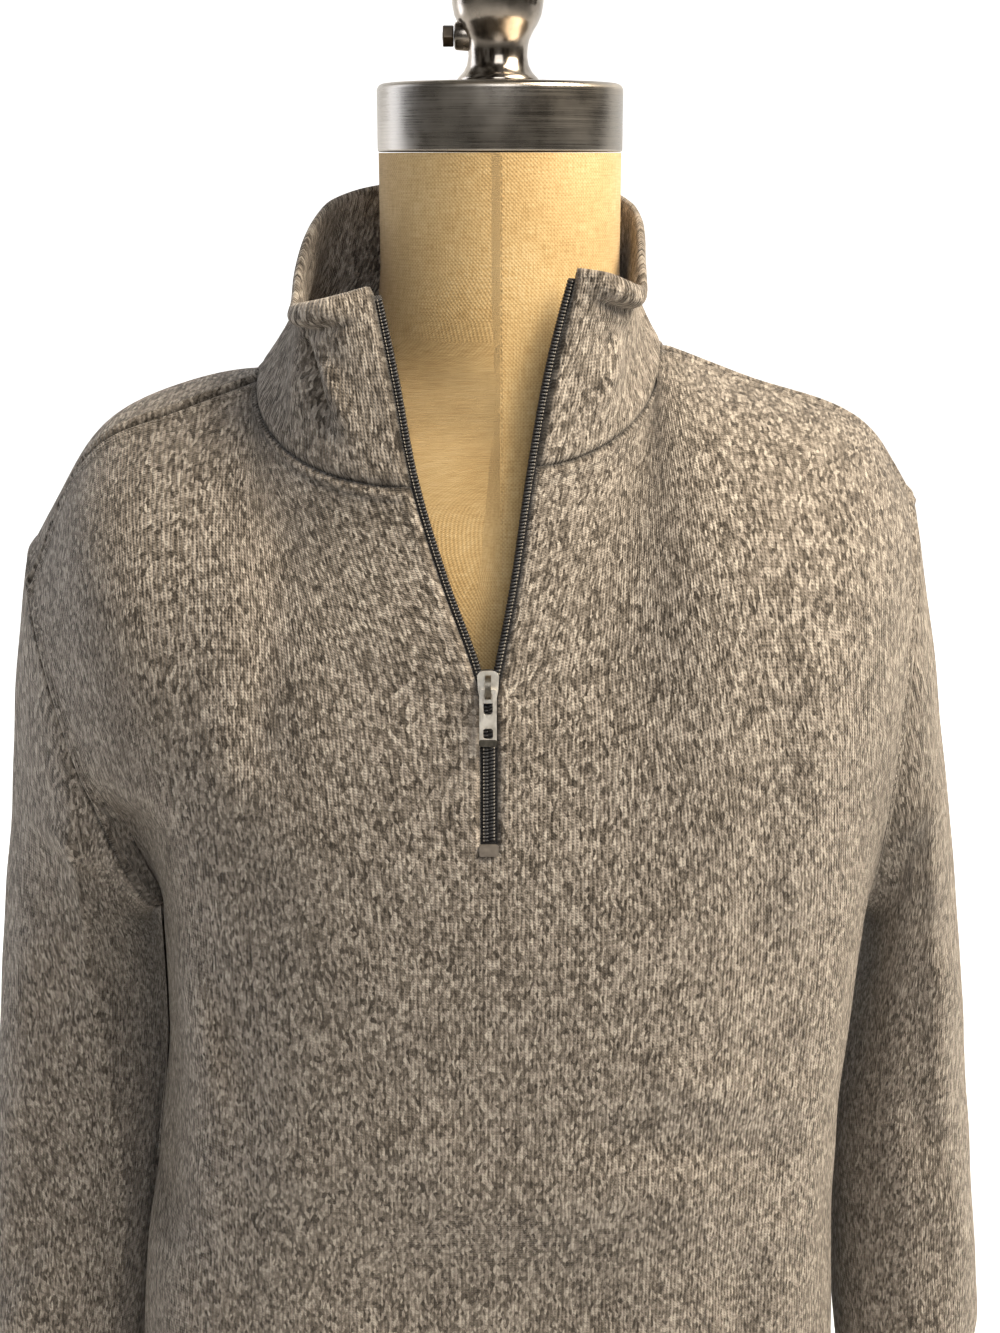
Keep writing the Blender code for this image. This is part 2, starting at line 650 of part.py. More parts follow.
def build_shell(name, grid, normal, thickness, present, wrap, flip, paint_name):
    rows, columns = grid.shape[:2]
    thickness = np.broadcast_to(thickness, (rows, columns))[..., None]
    outer = (grid + normal * thickness / 2).reshape(-1, 3)
    inner = (grid - normal * thickness / 2).reshape(-1, 3)
    faces = shell_faces(rows, columns, present, wrap)
    if flip:
        faces = [face[::-1] for face in faces]
    points = np.vstack([outer, inner])
    used = sorted({corner for face in faces for corner in face})
    renumber = {old: new for new, old in enumerate(used)}
    faces = [[renumber[corner] for corner in face] for face in faces]
    return add_mesh(name, points[used], faces, paint_name)


def garment_pieces():
    pieces = {}
    for name, grid in body_grids().items():
        present = np.ones((grid.shape[0] - 1, grid.shape[1] - 1), bool)
        if name == "front_panel":
            present[SKIRT_ROWS + SLIT_ROW:, PANEL_COLUMNS] = False
        pieces[name] = {"grid": grid, "present": present, "wrap": False,
                        "flip": name == "back_panel", "seams": ("high", "sides")}
    for side in ("left", "right"):
        grid = sleeve_grid(side)
        whole = np.ones((len(grid) - 1, grid.shape[1]), bool)
        pieces["sleeve_" + WEARER[side]] = {"grid": grid, "present": whole,
                                            "wrap": True, "flip": side == "right", "seams": ("low",)}
    grid = collar_grid()
    pieces["collar"] = {"grid": grid, "present": np.ones((grid.shape[0] - 1, grid.shape[1] - 1), bool),
                        "wrap": False, "flip": True, "seams": ("low",)}
    return pieces


def build_garment():
    pieces = garment_pieces()
    share_normals(pieces)
    for name, piece in pieces.items():
        thickness = CLOTH
        if name == "collar":
            rows = np.linspace(0, 1, COLLAR_ROWS + 1)[:, None]
            thickness = COLLAR_CLOTH * np.interp(rows, [0, 0.12, 0.9, 1.0], [0.42, 1.0, 1.0, 0.45])
        build_shell(name, pull_back(piece), piece["normal"], thickness, piece["present"],
                    piece["wrap"], piece["flip"], "knit")
    return pieces


# ---- zip ----

def edge_stations(pieces, side):
    """Points down the cloth's front edge, from the slit's foot to the top of the collar."""
    panel, collar = pieces["front_panel"], pieces["collar"]
    column = PANEL_COLUMNS if side == "left" else PANEL_COLUMNS + 1
    beside = column + SIDES[side]["sign"]
    first, second = (0, 1) if side == "left" else (-1, -2)
    rows = []
    for piece, here, there in ((panel, column, beside), (collar, first, second)):
        points, normals = piece["grid"][:, here], piece["normal"][:, here]
        away = piece["grid"][:, there] - points
        away = unit(away - (away * normals).sum(-1, keepdims=True) * normals)
        rows.append(np.concatenate([points, away, normals], axis=1))
    return rows[0][SKIRT_ROWS + SLIT_ROW - 1:], rows[1]


def station(rows, height):
    return np.array([np.interp(height, rows[:, 2], rows[:, column]) for column in range(9)])


def zip_stations(pieces, side, foot):
    """Rows of edge point, direction away from the zip, normal, tape reach and tape depth."""
    on_panel, on_collar = edge_stations(pieces, side)
    under = CLOTH / 2 + TAPE_GAP + TAPE / 2
    top = on_panel[-1, 2]
    found = []
    for height in (foot, *[z for z in on_panel[:, 2] if foot + 3 * MM < z < top - 9 * MM], top - 7 * MM):
        found.append((*station(on_panel, height), TAPE_REACH, -under))
    found.append((*station(on_panel, top - 3 * MM), -0.4 * MM, -under))
    collar_top = on_collar[-1, 2]
    for row in on_collar[1:-1]:
        found.append((*row, -0.4 * MM, 0.0))
    found.append((*station(on_collar, collar_top - 1.5 * MM), -0.4 * MM, 0.0))
    return np.array(found)


def strip(name, middle, across, normals, left, right, thickness, paint_name):
    """A strip along a line, from left to right of it, centred on the line's depth."""
    grid = np.stack([middle + across * left[:, None], middle + across * ((left + right) / 2)[:, None],
                     middle + across * right[:, None]], axis=1)
    facing = np.repeat(normals[:, None], 3, axis=1)
    present = np.ones((len(middle) - 1, 2), bool)
    turned = np.dot(np.cross(across[0], middle[1] - middle[0]), normals[0]) < 0
    return build_shell(name, grid, facing, thickness, present, False, turned, paint_name)


def build_zip(pieces):
    for side in ("left", "right"):
        wearer = WEARER[side]
        rows = zip_stations(pieces, side, SLIT_FOOT - 9 * MM)
        edge, away, normals, reach, depth = rows[:, :3], rows[:, 3:6], rows[:, 6:9], rows[:, 9], rows[:, 10]
        strip("zip_tape_" + wearer, edge + normals * depth[:, None], away, normals,
              np.full(len(rows), -SLIT_EDGE - 1.1 * MM), reach, TAPE, "zip_tape")
        rows = zip_stations(pieces, side, SLIT_FOOT + STOP_HEIGHT + 1.3 * MM)
        edge, away, normals, depth = rows[:, :3], rows[:, 3:6], rows[:, 6:9], rows[:, 10]
        lift = depth + TAPE / 2 + 0.3 * MM + COIL / 2
        half = COIL_WIDTH / 2
        strip("zip_coil_" + wearer, edge + normals * lift[:, None], away, normals,
              np.full(len(rows), -SLIT_EDGE - half), np.full(len(rows), -SLIT_EDGE + half), COIL, "zip_coil")


def zip_frame(height):
    """Axes on the zip's middle: across, up the zip and out of the cloth."""
    row = smooth_table(ZIP_LINE, np.array([height]))[0]
    up = Vector((0, math.sin(SLIDER_LEAN), math.cos(SLIDER_LEAN)))
    out = Vector((0, -math.cos(SLIDER_LEAN), math.sin(SLIDER_LEAN)))
    frame = Matrix((Vector((1, 0, 0)), up, out)).transposed().to_4x4()
    frame.translation = Vector((row[0], row[2], height))
    return frame


def prism(name, outline, low, high, paint_name, axis=2):
    """An outline in two axes, extruded along the third."""
    points = []
    for level in (low, high):
        for first, second in outline:
            point = [first, second]
            point.insert(axis, level)
            points.append(point)
    count = len(outline)
    faces = [list(range(count))[::-1], [count + index for index in range(count)]]
    for index in range(count):
        after = (index + 1) % count
        faces.append([index, after, count + after, count + index])
    thing = add_mesh(name, points, faces, paint_name, smooth=False)
    turn_outward(thing)
    return thing


def turn_outward(thing):
    shape = bmesh.new()
    shape.from_mesh(thing.data)
    bmesh.ops.recalc_face_normals(shape, faces=shape.faces)
    shape.to_mesh(thing.data)
    shape.free()


def join_solids(target, others, operation="UNION"):
    """Boolean of the others into the target; the others are used up."""
    for other in others:
        change = target.modifiers.new("join", "BOOLEAN")
        change.operation = operation
        change.object = other
        change.solver = "EXACT"
    bpy.context.view_layer.update()
    graph = bpy.context.evaluated_depsgraph_get()
    mesh = bpy.data.meshes.new_from_object(target.evaluated_get(graph))
    target.modifiers.clear()
    target.data = mesh
    for other in others:
        bpy.data.objects.remove(other, do_unlink=True)


def rectangle(left, right, low, high):
    return [(left, low), (right, low), (right, high), (left, high)]


def build_slider():
    frame = zip_frame(SLIDER_HEIGHT)
    front = COIL_FRONT + 0.5 * MM
    half = SLIDER_LENGTH / 2
    width = SLIDER_WIDTH / 2
    shape = [(-width * 0.78, -half), (width * 0.78, -half), (width, 0.15 * half), (width, 0.62 * half),
             (width * 0.72, half), (-width * 0.72, half), (-width, 0.62 * half), (-width, 0.15 * half)]
    body = prism("zip_slider", shape, front, front + SLIDER_PLATE, "pewter")
    back = -(CLOTH / 2 + TAPE_GAP + TAPE + 2.4 * MM)
    rear = prism("rear", shape, back - 1.0 * MM, back, "pewter")
    post = prism("post", rectangle(-1.2 * MM, 1.2 * MM, half - 2.4 * MM, half - 0.4 * MM),
                 back - 0.5 * MM, front + 0.5 * MM, "pewter")
    plate = front + SLIDER_PLATE
    turns = np.linspace(0, math.pi, 9)
    reach = BAIL_LENGTH / 2
    outer = [(-reach * math.cos(t), plate - 0.4 * MM + BAIL_RISE * math.sin(t) ** 0.8) for t in turns]
    inner = [(-(reach - BAIL_BAR) * math.cos(t),
              plate - 0.4 * MM + (BAIL_RISE - BAIL_BAR) * math.sin(t) ** 0.8) for t in turns]
    bail = prism("bail", outer + inner[::-1], -BAIL_WIDTH / 2, BAIL_WIDTH / 2, "pewter", axis=0)
    join_solids(body, [rear, post, bail])
    body.matrix_world = frame
    return plate


def build_pull(plate):
    """The tab hangs on the slider's bail and turns about the pin at its top, the object's origin."""
    half = PULL_WIDTH / 2
    window = PULL_WINDOW[0] / 2
    columns = (-half, -window, window, half)
    top = PIN_RADIUS
    lower_window = (-16.5 * MM, -20.8 * MM)
    rows = (top - PULL_LENGTH, lower_window[1], lower_window[0], -PIN_RADIUS - PULL_WINDOW[1] + 1 * MM,
            -PIN_RADIUS, top)
    grid = np.array([[(x, y, 0.0) for x in columns] for y in rows])
    normal = np.zeros_like(grid)
    normal[..., 2] = 1
    present = np.ones((len(rows) - 1, 3), bool)
    present[1, 1] = False
    present[3, 1] = False
    tab = build_shell("pull_tab", grid, normal, 2 * PIN_RADIUS, present, False, False, "pewter")
    tab.data.shade_flat()
    frame = zip_frame(SLIDER_HEIGHT)
    pin = frame @ Vector((0, -PIN_DROP, plate + 1.35 * MM))
    tab.matrix_world = Matrix.Translation(pin) @ frame.to_3x3().to_4x4()
    return pin


def build_bottom_stop():
    half = STOP_HEIGHT / 2
    frame = zip_frame(SLIT_FOOT + half + 0.7 * MM)
    stop = prism("zip_bottom_stop", rectangle(-STOP_WIDTH / 2, STOP_WIDTH / 2, -half, half),
                 -0.9 * MM, 1.2 * MM, "pewter")
    stop.matrix_world = frame


# ---- dress form ----

def form_heights():
    heights = []
    for low, high in zip(FORM_RINGS[:-1, 0], FORM_RINGS[1:, 0]):
        step = FORM_STEPS[0] if low < 0.65 else FORM_STEPS[1] if low < 0.74 else FORM_STEPS[2]
        count = max(1, round((high - low) / step))
        heights.extend(np.linspace(low, high, count, endpoint=False))
    return np.array([*heights, FORM_RINGS[-1, 0]])


def form_grid():
    turns = np.linspace(0, 2 * math.pi, FORM_AROUND, endpoint=False)
    rows = []
    for height, row in zip(form_heights(), smooth_table(FORM_RINGS, form_heights())):
        half_width, front, back, squareness = row
        depth = np.where(np.cos(turns) > 0, front, back)
        x = half_width * np.sign(np.sin(turns)) * np.abs(np.sin(turns)) ** (2 / squareness)
        y = -depth * np.sign(np.cos(turns)) * np.abs(np.cos(turns)) ** (2 / squareness)
        rows.append(np.stack([x, y, np.full_like(x, height)], -1))
    return np.array(rows)


def cloth_inside(pieces):
    """A search tree of the cloth's inner face."""
    points, faces = [], []
    for name, piece in pieces.items():
        thickness = COLLAR_CLOTH if name == "collar" else CLOTH
        grid = piece["grid"] - piece["normal"] * thickness / 2
        rows, columns = grid.shape[:2]
        start = len(points)
        points.extend(Vector(point) for point in grid.reshape(-1, 3))
        wide = columns if piece["wrap"] else columns - 1
        for row in range(rows - 1):
            for column in range(wide):
                if not piece["present"][row, column]:
                    continue
                after = (column + 1) % columns
                face = [start + row * columns + column, start + row * columns + after,
                        start + (row + 1) * columns + after, start + (row + 1) * columns + column]
                faces.append(face[::-1] if piece["flip"] else face)
    return BVHTree.FromPolygons(points, faces)


def settle_form(grid, pieces):
    """Draws in the form wherever it would come nearer to the cloth than its clearance."""
    tree = cloth_inside(pieces)

    def excess(point):
        spot, normal, _, _ = tree.find_nearest(Vector(point))
        clear = np.interp(abs(point[0]), SHOULDER_REST, (FORM_FREE, FORM_CLEAR))
        return max(0.0, (Vector(point) - spot).dot(normal) + clear) * np.array(normal)

    rows, columns = grid.shape[:2]
    for _ in range(5):
        for row in range(rows):
            for column in range(columns):
                grid[row, column] -= excess(grid[row, column])
        for row in range(rows - 1):
            for column in range(columns):
                after = (column + 1) % columns
                corners = [(row, column), (row, after), (row + 1, after), (row + 1, column)]
                push = excess(sum(grid[corner] for corner in corners) / 4)
                for corner in corners:
                    grid[corner] -= push
    return grid


def build_form(pieces):
    grid = settle_form(form_grid(), pieces)
    rows, columns = grid.shape[:2]
    points = [*grid.reshape(-1, 3)]
    faces = []
    for row in range(rows - 1):
        for column in range(columns):
            after = (column + 1) % columns
            faces.append([row * columns + column, row * columns + after,
                          (row + 1) * columns + after, (row + 1) * columns + column])
    faces.append(list(range(columns))[::-1])
    faces.append([(rows - 1) * columns + column for column in range(columns)])
    form = add_mesh("form_torso", points, faces, "canvas")
    turn_outward(form)


def lathe(name, profile, middle, around, paint_name):
    """A closed turned solid from (height, radius) rows, with flat ends."""
    turns = np.linspace(0, 2 * math.pi, around, endpoint=False)
    points = [(middle[0] + radius * math.cos(turn), middle[1] + radius * math.sin(turn), middle[2] + height)
              for height, radius in profile for turn in turns]
    faces = []
    for row in range(len(profile) - 1):
        for column in range(around):
            after = (column + 1) % around
            faces.append([row * around + column, row * around + after,
                          (row + 1) * around + after, (row + 1) * around + column])
    faces.append(list(range(around))[::-1])
    faces.append([(len(profile) - 1) * around + column for column in range(around)])
    thing = add_mesh(name, points, faces, paint_name)
    turn_outward(thing)
    return thing


def rod(name, radius, start, end, sides, paint_name, turn=0.0):
    """A straight rod along X, centred on its own origin's axis."""
    outline = [(radius * math.cos(turn + 2 * math.pi * index / sides),
                radius * math.sin(turn + 2 * math.pi * index / sides)) for index in range(sides)]
    return prism(name, outline, start, end, paint_name, axis=0)


def build_stand():
    half_width, half_depth = BASE_HALF
    turns = np.linspace(0, 2 * math.pi, FORM_AROUND, endpoint=False)
    outline = [(half_width * math.cos(turn), half_depth * math.sin(turn)) for turn in turns]
    board = prism("form_base", outline, 0.0, BASE_HEIGHT, "board")
    edge = board.modifiers.new("edge", "BEVEL")
    edge.width = 2 * MM
    edge.segments = 2
    edge.limit_method = "ANGLE"
    edge.angle_limit = math.radians(60)

    rounding = 2.5 * MM
    height = CAP_TOP - CAP_FOOT
    corner = [(height - rounding * (1 - math.sin(turn)), CAP_RADIUS - rounding * (1 - math.cos(turn)))
              for turn in np.linspace(0, math.pi / 2, 4)]
    lathe("neck_cap", [(0.0, CAP_RADIUS), *corner], (0, 0, CAP_FOOT), 56, "steel")

    finial = lathe("finial", FINIAL_PROFILE, (FINIAL_X, 0, CAP_TOP), 32, "steel")
    centre = Vector((FINIAL_X, 0, CAP_TOP + BOLT_HEIGHT))
    boss = rod("boss", BOSS_RADIUS, -BOSS_REACH, -0.006, 20, "steel")
    boss.location = centre
    join_solids(finial, [boss])
    bore = rod("bore", BOLT_BORE, -BOSS_REACH - 0.001, -0.0055, 20, "steel")
    bore.location = centre
    join_solids(finial, [bore], "DIFFERENCE")

    bolt = rod("finial_bolt", BOLT_SHANK, -BOSS_REACH - 1.0 * MM, -0.0063, 20, "steel")
    head_foot = -BOSS_REACH - 0.4 * MM
    head = rod("head", BOLT_HEAD, head_foot - BOLT_HEAD_LENGTH, head_foot, 6, "steel")
    join_solids(bolt, [head])
    bolt.location = centre


def main():
    clear_scene()
    pieces = build_garment()
    build_zip(pieces)
    pin = build_pull(build_slider())
    build_bottom_stop()
    build_form(pieces)
    build_stand()
    print("pull tab pin at", [round(value, 5) for value in pin])


main()
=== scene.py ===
# Quarter zip sweater in a marled sweater knit, worn on a limbless canvas dress form.
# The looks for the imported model: cloth with its folds, seams and stitches, the zip, the form and its metalwork.
import math

import bpy
import numpy as np
from mathutils import Matrix, Vector
from mathutils.bvhtree import BVHTree


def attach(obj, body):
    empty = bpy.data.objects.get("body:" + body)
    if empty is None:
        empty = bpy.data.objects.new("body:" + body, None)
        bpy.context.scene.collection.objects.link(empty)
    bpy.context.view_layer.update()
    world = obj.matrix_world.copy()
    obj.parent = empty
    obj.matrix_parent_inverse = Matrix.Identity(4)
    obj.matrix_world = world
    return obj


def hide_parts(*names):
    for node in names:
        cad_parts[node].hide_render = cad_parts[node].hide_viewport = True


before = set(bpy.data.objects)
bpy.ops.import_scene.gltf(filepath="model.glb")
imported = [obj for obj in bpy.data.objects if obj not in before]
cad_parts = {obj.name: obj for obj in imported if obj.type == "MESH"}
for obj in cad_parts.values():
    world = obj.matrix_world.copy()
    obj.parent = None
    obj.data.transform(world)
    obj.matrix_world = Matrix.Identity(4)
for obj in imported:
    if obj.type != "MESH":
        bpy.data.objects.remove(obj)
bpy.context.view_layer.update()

mm = 0.001
random = np.random.default_rng(7)

# what a user would change, one dictionary for each piece

cloth = {
    "wall": 2.2 * mm,
    "seamGap": 0.16 * mm,        # left open between two sewn pieces
    "groove": 1.5 * mm,          # how deep a seam sinks
    "ridge": 1.3 * mm,           # the seam allowance that lifts the cloth beside it
    "ridgeAt": 3.8 * mm,         # from the seam
    "stitchAt": 6.6 * mm,        # row of stitches beside a seam
    "stitchSink": 0.45 * mm,
    "hemAt": 24 * mm,            # turned hem and cuff, up to their upper row of stitches
    "hemRows": 3 * mm,           # from that row to the lower one
    "hemLift": 0.5 * mm,         # the turned cloth beneath lifts the outer one
    "unevenness": 0.9 * mm,      # soft waves of a worn cloth
}

body = {
    "centre": -0.005,           # the garment hangs a little to one side of the form
    "columns": 110,             # grid columns on each half of a panel
    "neckColumns": 50,          # how many of them end at the neckline
    "skirtRows": 72,            # grid rows from the hem to the armpit
    "yokeRows": 104,            # grid rows from the armpit to the shoulder
    "slitRow": 32,              # the slit ends this many rows above the armpit
    "bridge": 4,                # columns between the two edges of the slit, below its foot
    # rings from the hem up to the armpit, as distances from the centre line
    "rings": np.array([
        # height, left, right, front, back, squareness
        (0.065, 0.196, 0.192, 0.106, 0.106, 2.5),
        (0.140, 0.193, 0.189, 0.109, 0.106, 2.5),
        (0.210, 0.189, 0.186, 0.112, 0.103, 2.5),
        (0.310, 0.179, 0.182, 0.117, 0.098, 2.5),
        (0.380, 0.172, 0.186, 0.122, 0.097, 2.4),
        (0.442, 0.173, 0.192, 0.127, 0.100, 2.3),
    ]),
    # how the columns of a half panel arrive at its top edge
    "frontColumns": (
        # share, slope in degrees, part of the seam's own slope added, fullness
        (0.00, 68, 0, 1.0),
        (0.25, 52, 0, 1.1),
        (5 / 11, 18, 0.6, 1.5),
        (0.65, 6, 1, 1.5),
        (1.00, 0, 1, 1.2),
    ),
    "backColumns": (
        (0.00, 70, 0, 1.0),
        (0.25, 50, 0, 1.1),
        (5 / 11, 6, 0.8, 1.4),
        (0.65, 0, 1, 1.5),
        (1.00, 0, 1, 1.2),
    ),
}
body["armpit"] = body["rings"][-1, 0]
body["neckShare"] = body["neckColumns"] / body["columns"]

neck = {
    "middle": (-0.0205, -0.002),
    "half": 0.098,
    "front": 0.088,
    "back": 0.066,
    "backHeight": 0.745,
    "frontHeight": 0.6815,
    "rise": 1.2,                 # power of the rise from the front to the side
}

zipper = {
    "edge": 3.3 * mm,            # cloth edge to the middle of its coil
    "slotHalf": 4.9 * mm,        # middle of the front to the cloth edge, where the zip is closed
    "tapeReach": 9.0 * mm,       # how far the tape runs under the cloth
    "tape": 0.8 * mm,
    "tapeGap": 0.5 * mm,
    "tapeBeyond": 1.3 * mm,      # from the middle of the coil to the tape's free edge
    "tapeCrown": 0.25 * mm,
    "tapeBelow": 9 * mm,         # how far the tape runs on below the slit
    "tapeShort": 2 * mm,         # and how far it ends below the collar's top
    "collarReach": 2.2 * mm,     # how far it runs in between the collar's two layers
    "coilAbove": 7 * mm,         # where the coil starts above the slit's foot
    "coilShort": 3 * mm,         # and where it ends below the collar's top
    "pitch": 1.6 * mm,           # one turn of the coil
    "coilWidth": 3.0 * mm,
    "coilHeight": 1.7 * mm,
    "wire": 0.50 * mm,
    "bead": (0.60 * mm, 0.30 * mm),   # length and radius of a stitch that holds the coil
    "stopAbove": 3.4 * mm,       # middle of the bottom stop, above the slit's foot
    "stopHalf": (4.4 * mm, 2.7 * mm),
    "lean": math.radians(9.5),   # of the front at the slider
    "sliderHeight": 0.5930,
    # two lines: closed below the slider, spreading above it
    "line": np.array([
        # height, middle, half spread, depth
        (0.5080, -0.0050, 0.00160, -0.1275),
        (0.5450, -0.0050, 0.00160, -0.1235),
        (0.5860, -0.0052, 0.00160, -0.1170),
        (0.6000, -0.0056, 0.00460, -0.1145),
        (0.6383, -0.0092, 0.01580, -0.1000),
        (0.6810, -0.0127, 0.02600, -0.0860),
        (0.7250, -0.0131, 0.03440, -0.0745),
        (0.7677, -0.0122, 0.04440, -0.0620),
    ]),
}
zipper["foot"] = body["armpit"] + (neck["frontHeight"] - body["armpit"]) * body["slitRow"] / body["yokeRows"]

collar = {
    "wall": 4.4 * mm,            # the same cloth folded double
    "hollow": 0.009,             # how far its sides curve in
    "turn": 0.007,               # how far the front corners bend in below the edge that falls outward
    "rows": 64,
    # top edge, from near its front corner to the middle of the back
    "tops": {
        "left": np.array([
            # share, x, y, z
            (0.10, -0.0760, -0.0665, 0.7600),
            (0.22, -0.0955, -0.0520, 0.7560),
            (0.34, -0.0945, -0.0290, 0.7720),
            (0.50, -0.0870, 0.0010, 0.7940),
            (0.68, -0.0750, 0.0370, 0.8040),
            (0.84, -0.0480, 0.0610, 0.8090),
            (1.00, -0.0097, 0.0690, 0.8110),
        ]),
        "right": np.array([
            (0.10, 0.0500, -0.0640, 0.7700),
            (0.22, 0.0655, -0.0480, 0.7640),
            (0.34, 0.0665, -0.0260, 0.7790),
            (0.50, 0.0660, 0.0010, 0.7950),
            (0.68, 0.0570, 0.0370, 0.8040),
            (0.84, 0.0330, 0.0610, 0.8090),
            (1.00, -0.0097, 0.0690, 0.8110),
        ]),
    },
}

# what differs from one side to the other; left and right as seen from the front
sides = {
    "left": {
        "sign": -1,
        "neckFrontHeight": 0.677,
        "neckSideHeight": 0.7165,
        "collarFrontHeight": 0.7637,
        "seamLift": 24.0,       # slope of the cloth across the shoulder seam, degrees
        "armholeStart": 33.0,   # where the shoulder seam meets the armhole, degrees from its top
        # shoulder seam from the neck to the armhole
        "shoulder": ((-0.1540, -0.020, 0.7043), (-0.1911, -0.029, 0.6890)),
    },
    "right": {
        "sign": 1,
        "neckFrontHeight": 0.686,
        "neckSideHeight": 0.7325,
        "collarFrontHeight": 0.7717,
        "seamLift": 4.0,
        "armholeStart": 8.0,
        "shoulder": ((0.1178, 0.002, 0.7165), (0.1790, 0.001, 0.6935)),
    },
}
wearerSide = {"left": "right", "right": "left"}

sleeve = {
    "rings": 200,
    # sections from the armhole to the cuff, each an oval between an outer and an inner point
    "sections": {
        "left": np.array([
            # outer x, y, z, inner x, y, z, front, back, crest, ridge, trough
            (-0.2345, 0.004, 0.632, -0.1780, 0.0040, 0.442, 0.058, 0.064, 0.00, 0.00, 0.000),
            (-0.2410, 0.005, 0.594, -0.1835, 0.0100, 0.439, 0.059, 0.065, -0.08, 0.45, 0.000),
            (-0.2475, 0.006, 0.549, -0.1875, 0.0180, 0.430, 0.058, 0.064, -0.18, 0.80, 0.000),
            (-0.2530, 0.007, 0.500, -0.1860, 0.0300, 0.414, 0.056, 0.063, -0.24, 0.90, 0.000),
            (-0.2610, 0.008, 0.443, -0.1840, 0.0370, 0.388, 0.054, 0.062, -0.28, 0.95, 0.000),
            (-0.2685, 0.008, 0.380, -0.1835, 0.0400, 0.350, 0.052, 0.060, -0.42, 0.95, 0.000),
            (-0.2755, 0.007, 0.315, -0.1860, 0.0380, 0.297, 0.050, 0.058, -0.58, 0.90, 0.002),
            (-0.2820, 0.005, 0.245, -0.1930, 0.0300, 0.238, 0.048, 0.056, -0.70, 0.80, 0.003),
            (-0.2875, 0.002, 0.175, -0.2020, 0.0150, 0.173, 0.045, 0.052, -0.65, 0.60, 0.002),
            (-0.2915, -0.002, 0.115, -0.2080, 0.0040, 0.115, 0.041, 0.047, -0.45, 0.30, 0.001),
            (-0.2920, -0.005, 0.070, -0.2160, -0.0040, 0.070, 0.038, 0.042, -0.25, 0.10, 0.000),
        ]),
        "right": np.array([
            (0.2040, 0.004, 0.657, 0.1870, 0.0040, 0.442, 0.056, 0.062, 0.00, 0.00, 0.000),
            (0.2120, 0.005, 0.615, 0.1925, 0.0090, 0.439, 0.058, 0.064, 0.00, 0.00, 0.001),
            (0.2190, 0.006, 0.571, 0.1960, 0.0160, 0.430, 0.060, 0.066, 0.00, 0.00, 0.002),
            (0.2260, 0.007, 0.524, 0.1960, 0.0220, 0.415, 0.062, 0.067, -0.05, 0.00, 0.003),
            (0.2345, 0.008, 0.472, 0.1935, 0.0260, 0.392, 0.063, 0.068, -0.10, 0.10, 0.005),
            (0.2420, 0.008, 0.414, 0.1900, 0.0280, 0.358, 0.063, 0.068, -0.05, 0.20, 0.006),
            (0.2490, 0.007, 0.347, 0.1850, 0.0260, 0.312, 0.061, 0.067, 0.05, 0.20, 0.006),
            (0.2570, 0.005, 0.277, 0.1855, 0.0200, 0.262, 0.058, 0.064, 0.25, 0.30, 0.005),
            (0.2650, 0.002, 0.200, 0.1895, 0.0120, 0.197, 0.053, 0.058, 0.20, 0.30, 0.003),
            (0.2715, -0.002, 0.130, 0.1960, 0.0030, 0.130, 0.046, 0.050, 0.10, 0.20, 0.001),
            (0.2740, -0.005, 0.075, 0.2020, -0.0040, 0.075, 0.040, 0.044, 0.00, 0.05, 0.000),
        ]),
    },
}

form = {
    "around": 96,
    "steps": (0.010, 0.0040, 0.010),   # spacing of its rings below, over and above the shoulders
    "clear": 0.9 * mm,           # off the cloth where it rests, on the shoulders
    "free": 4.0 * mm,            # least space elsewhere
    "shoulderRest": (0.115, 0.140),
    "neckFrom": 0.745,           # above this it stands free of the cloth
    "seam": 0.35 * mm,           # height of the lapped seam down the middle of its front
    "stitch": (1.7 * mm, 0.18 * mm, 3.4 * mm),   # length, radius and pitch of that seam's stitches
    "stitchFrom": 0.06,
    "rings": np.array([
        # height, half width, front, back, squareness
        (0.0203, 0.150, 0.088, 0.088, 2.3),
        (0.100, 0.158, 0.091, 0.092, 2.3),
        (0.160, 0.157, 0.090, 0.090, 2.3),
        (0.240, 0.141, 0.086, 0.082, 2.2),
        (0.330, 0.120, 0.083, 0.074, 2.2),
        (0.400, 0.127, 0.091, 0.078, 2.2),
        (0.460, 0.144, 0.105, 0.084, 2.2),
        (0.510, 0.154, 0.110, 0.087, 2.2),
        (0.560, 0.168, 0.104, 0.089, 2.2),
        (0.600, 0.178, 0.096, 0.089, 2.1),
        (0.630, 0.184, 0.089, 0.086, 1.9),
        (0.655, 0.187, 0.081, 0.080, 1.7),
        (0.672, 0.184, 0.076, 0.075, 1.6),
        (0.688, 0.172, 0.071, 0.070, 1.5),
        (0.700, 0.152, 0.066, 0.064, 1.4),
        (0.708, 0.130, 0.064, 0.061, 1.4),
        (0.716, 0.102, 0.062, 0.059, 1.45),
        (0.726, 0.077, 0.0603, 0.0582, 1.6),
        (0.740, 0.0635, 0.0588, 0.0578, 1.8),
        (0.758, 0.0585, 0.0580, 0.0576, 2.0),
        (0.780, 0.0575, 0.0575, 0.0575, 2.0),
        (0.8237, 0.0575, 0.0575, 0.0575, 2.0),
    ]),
}

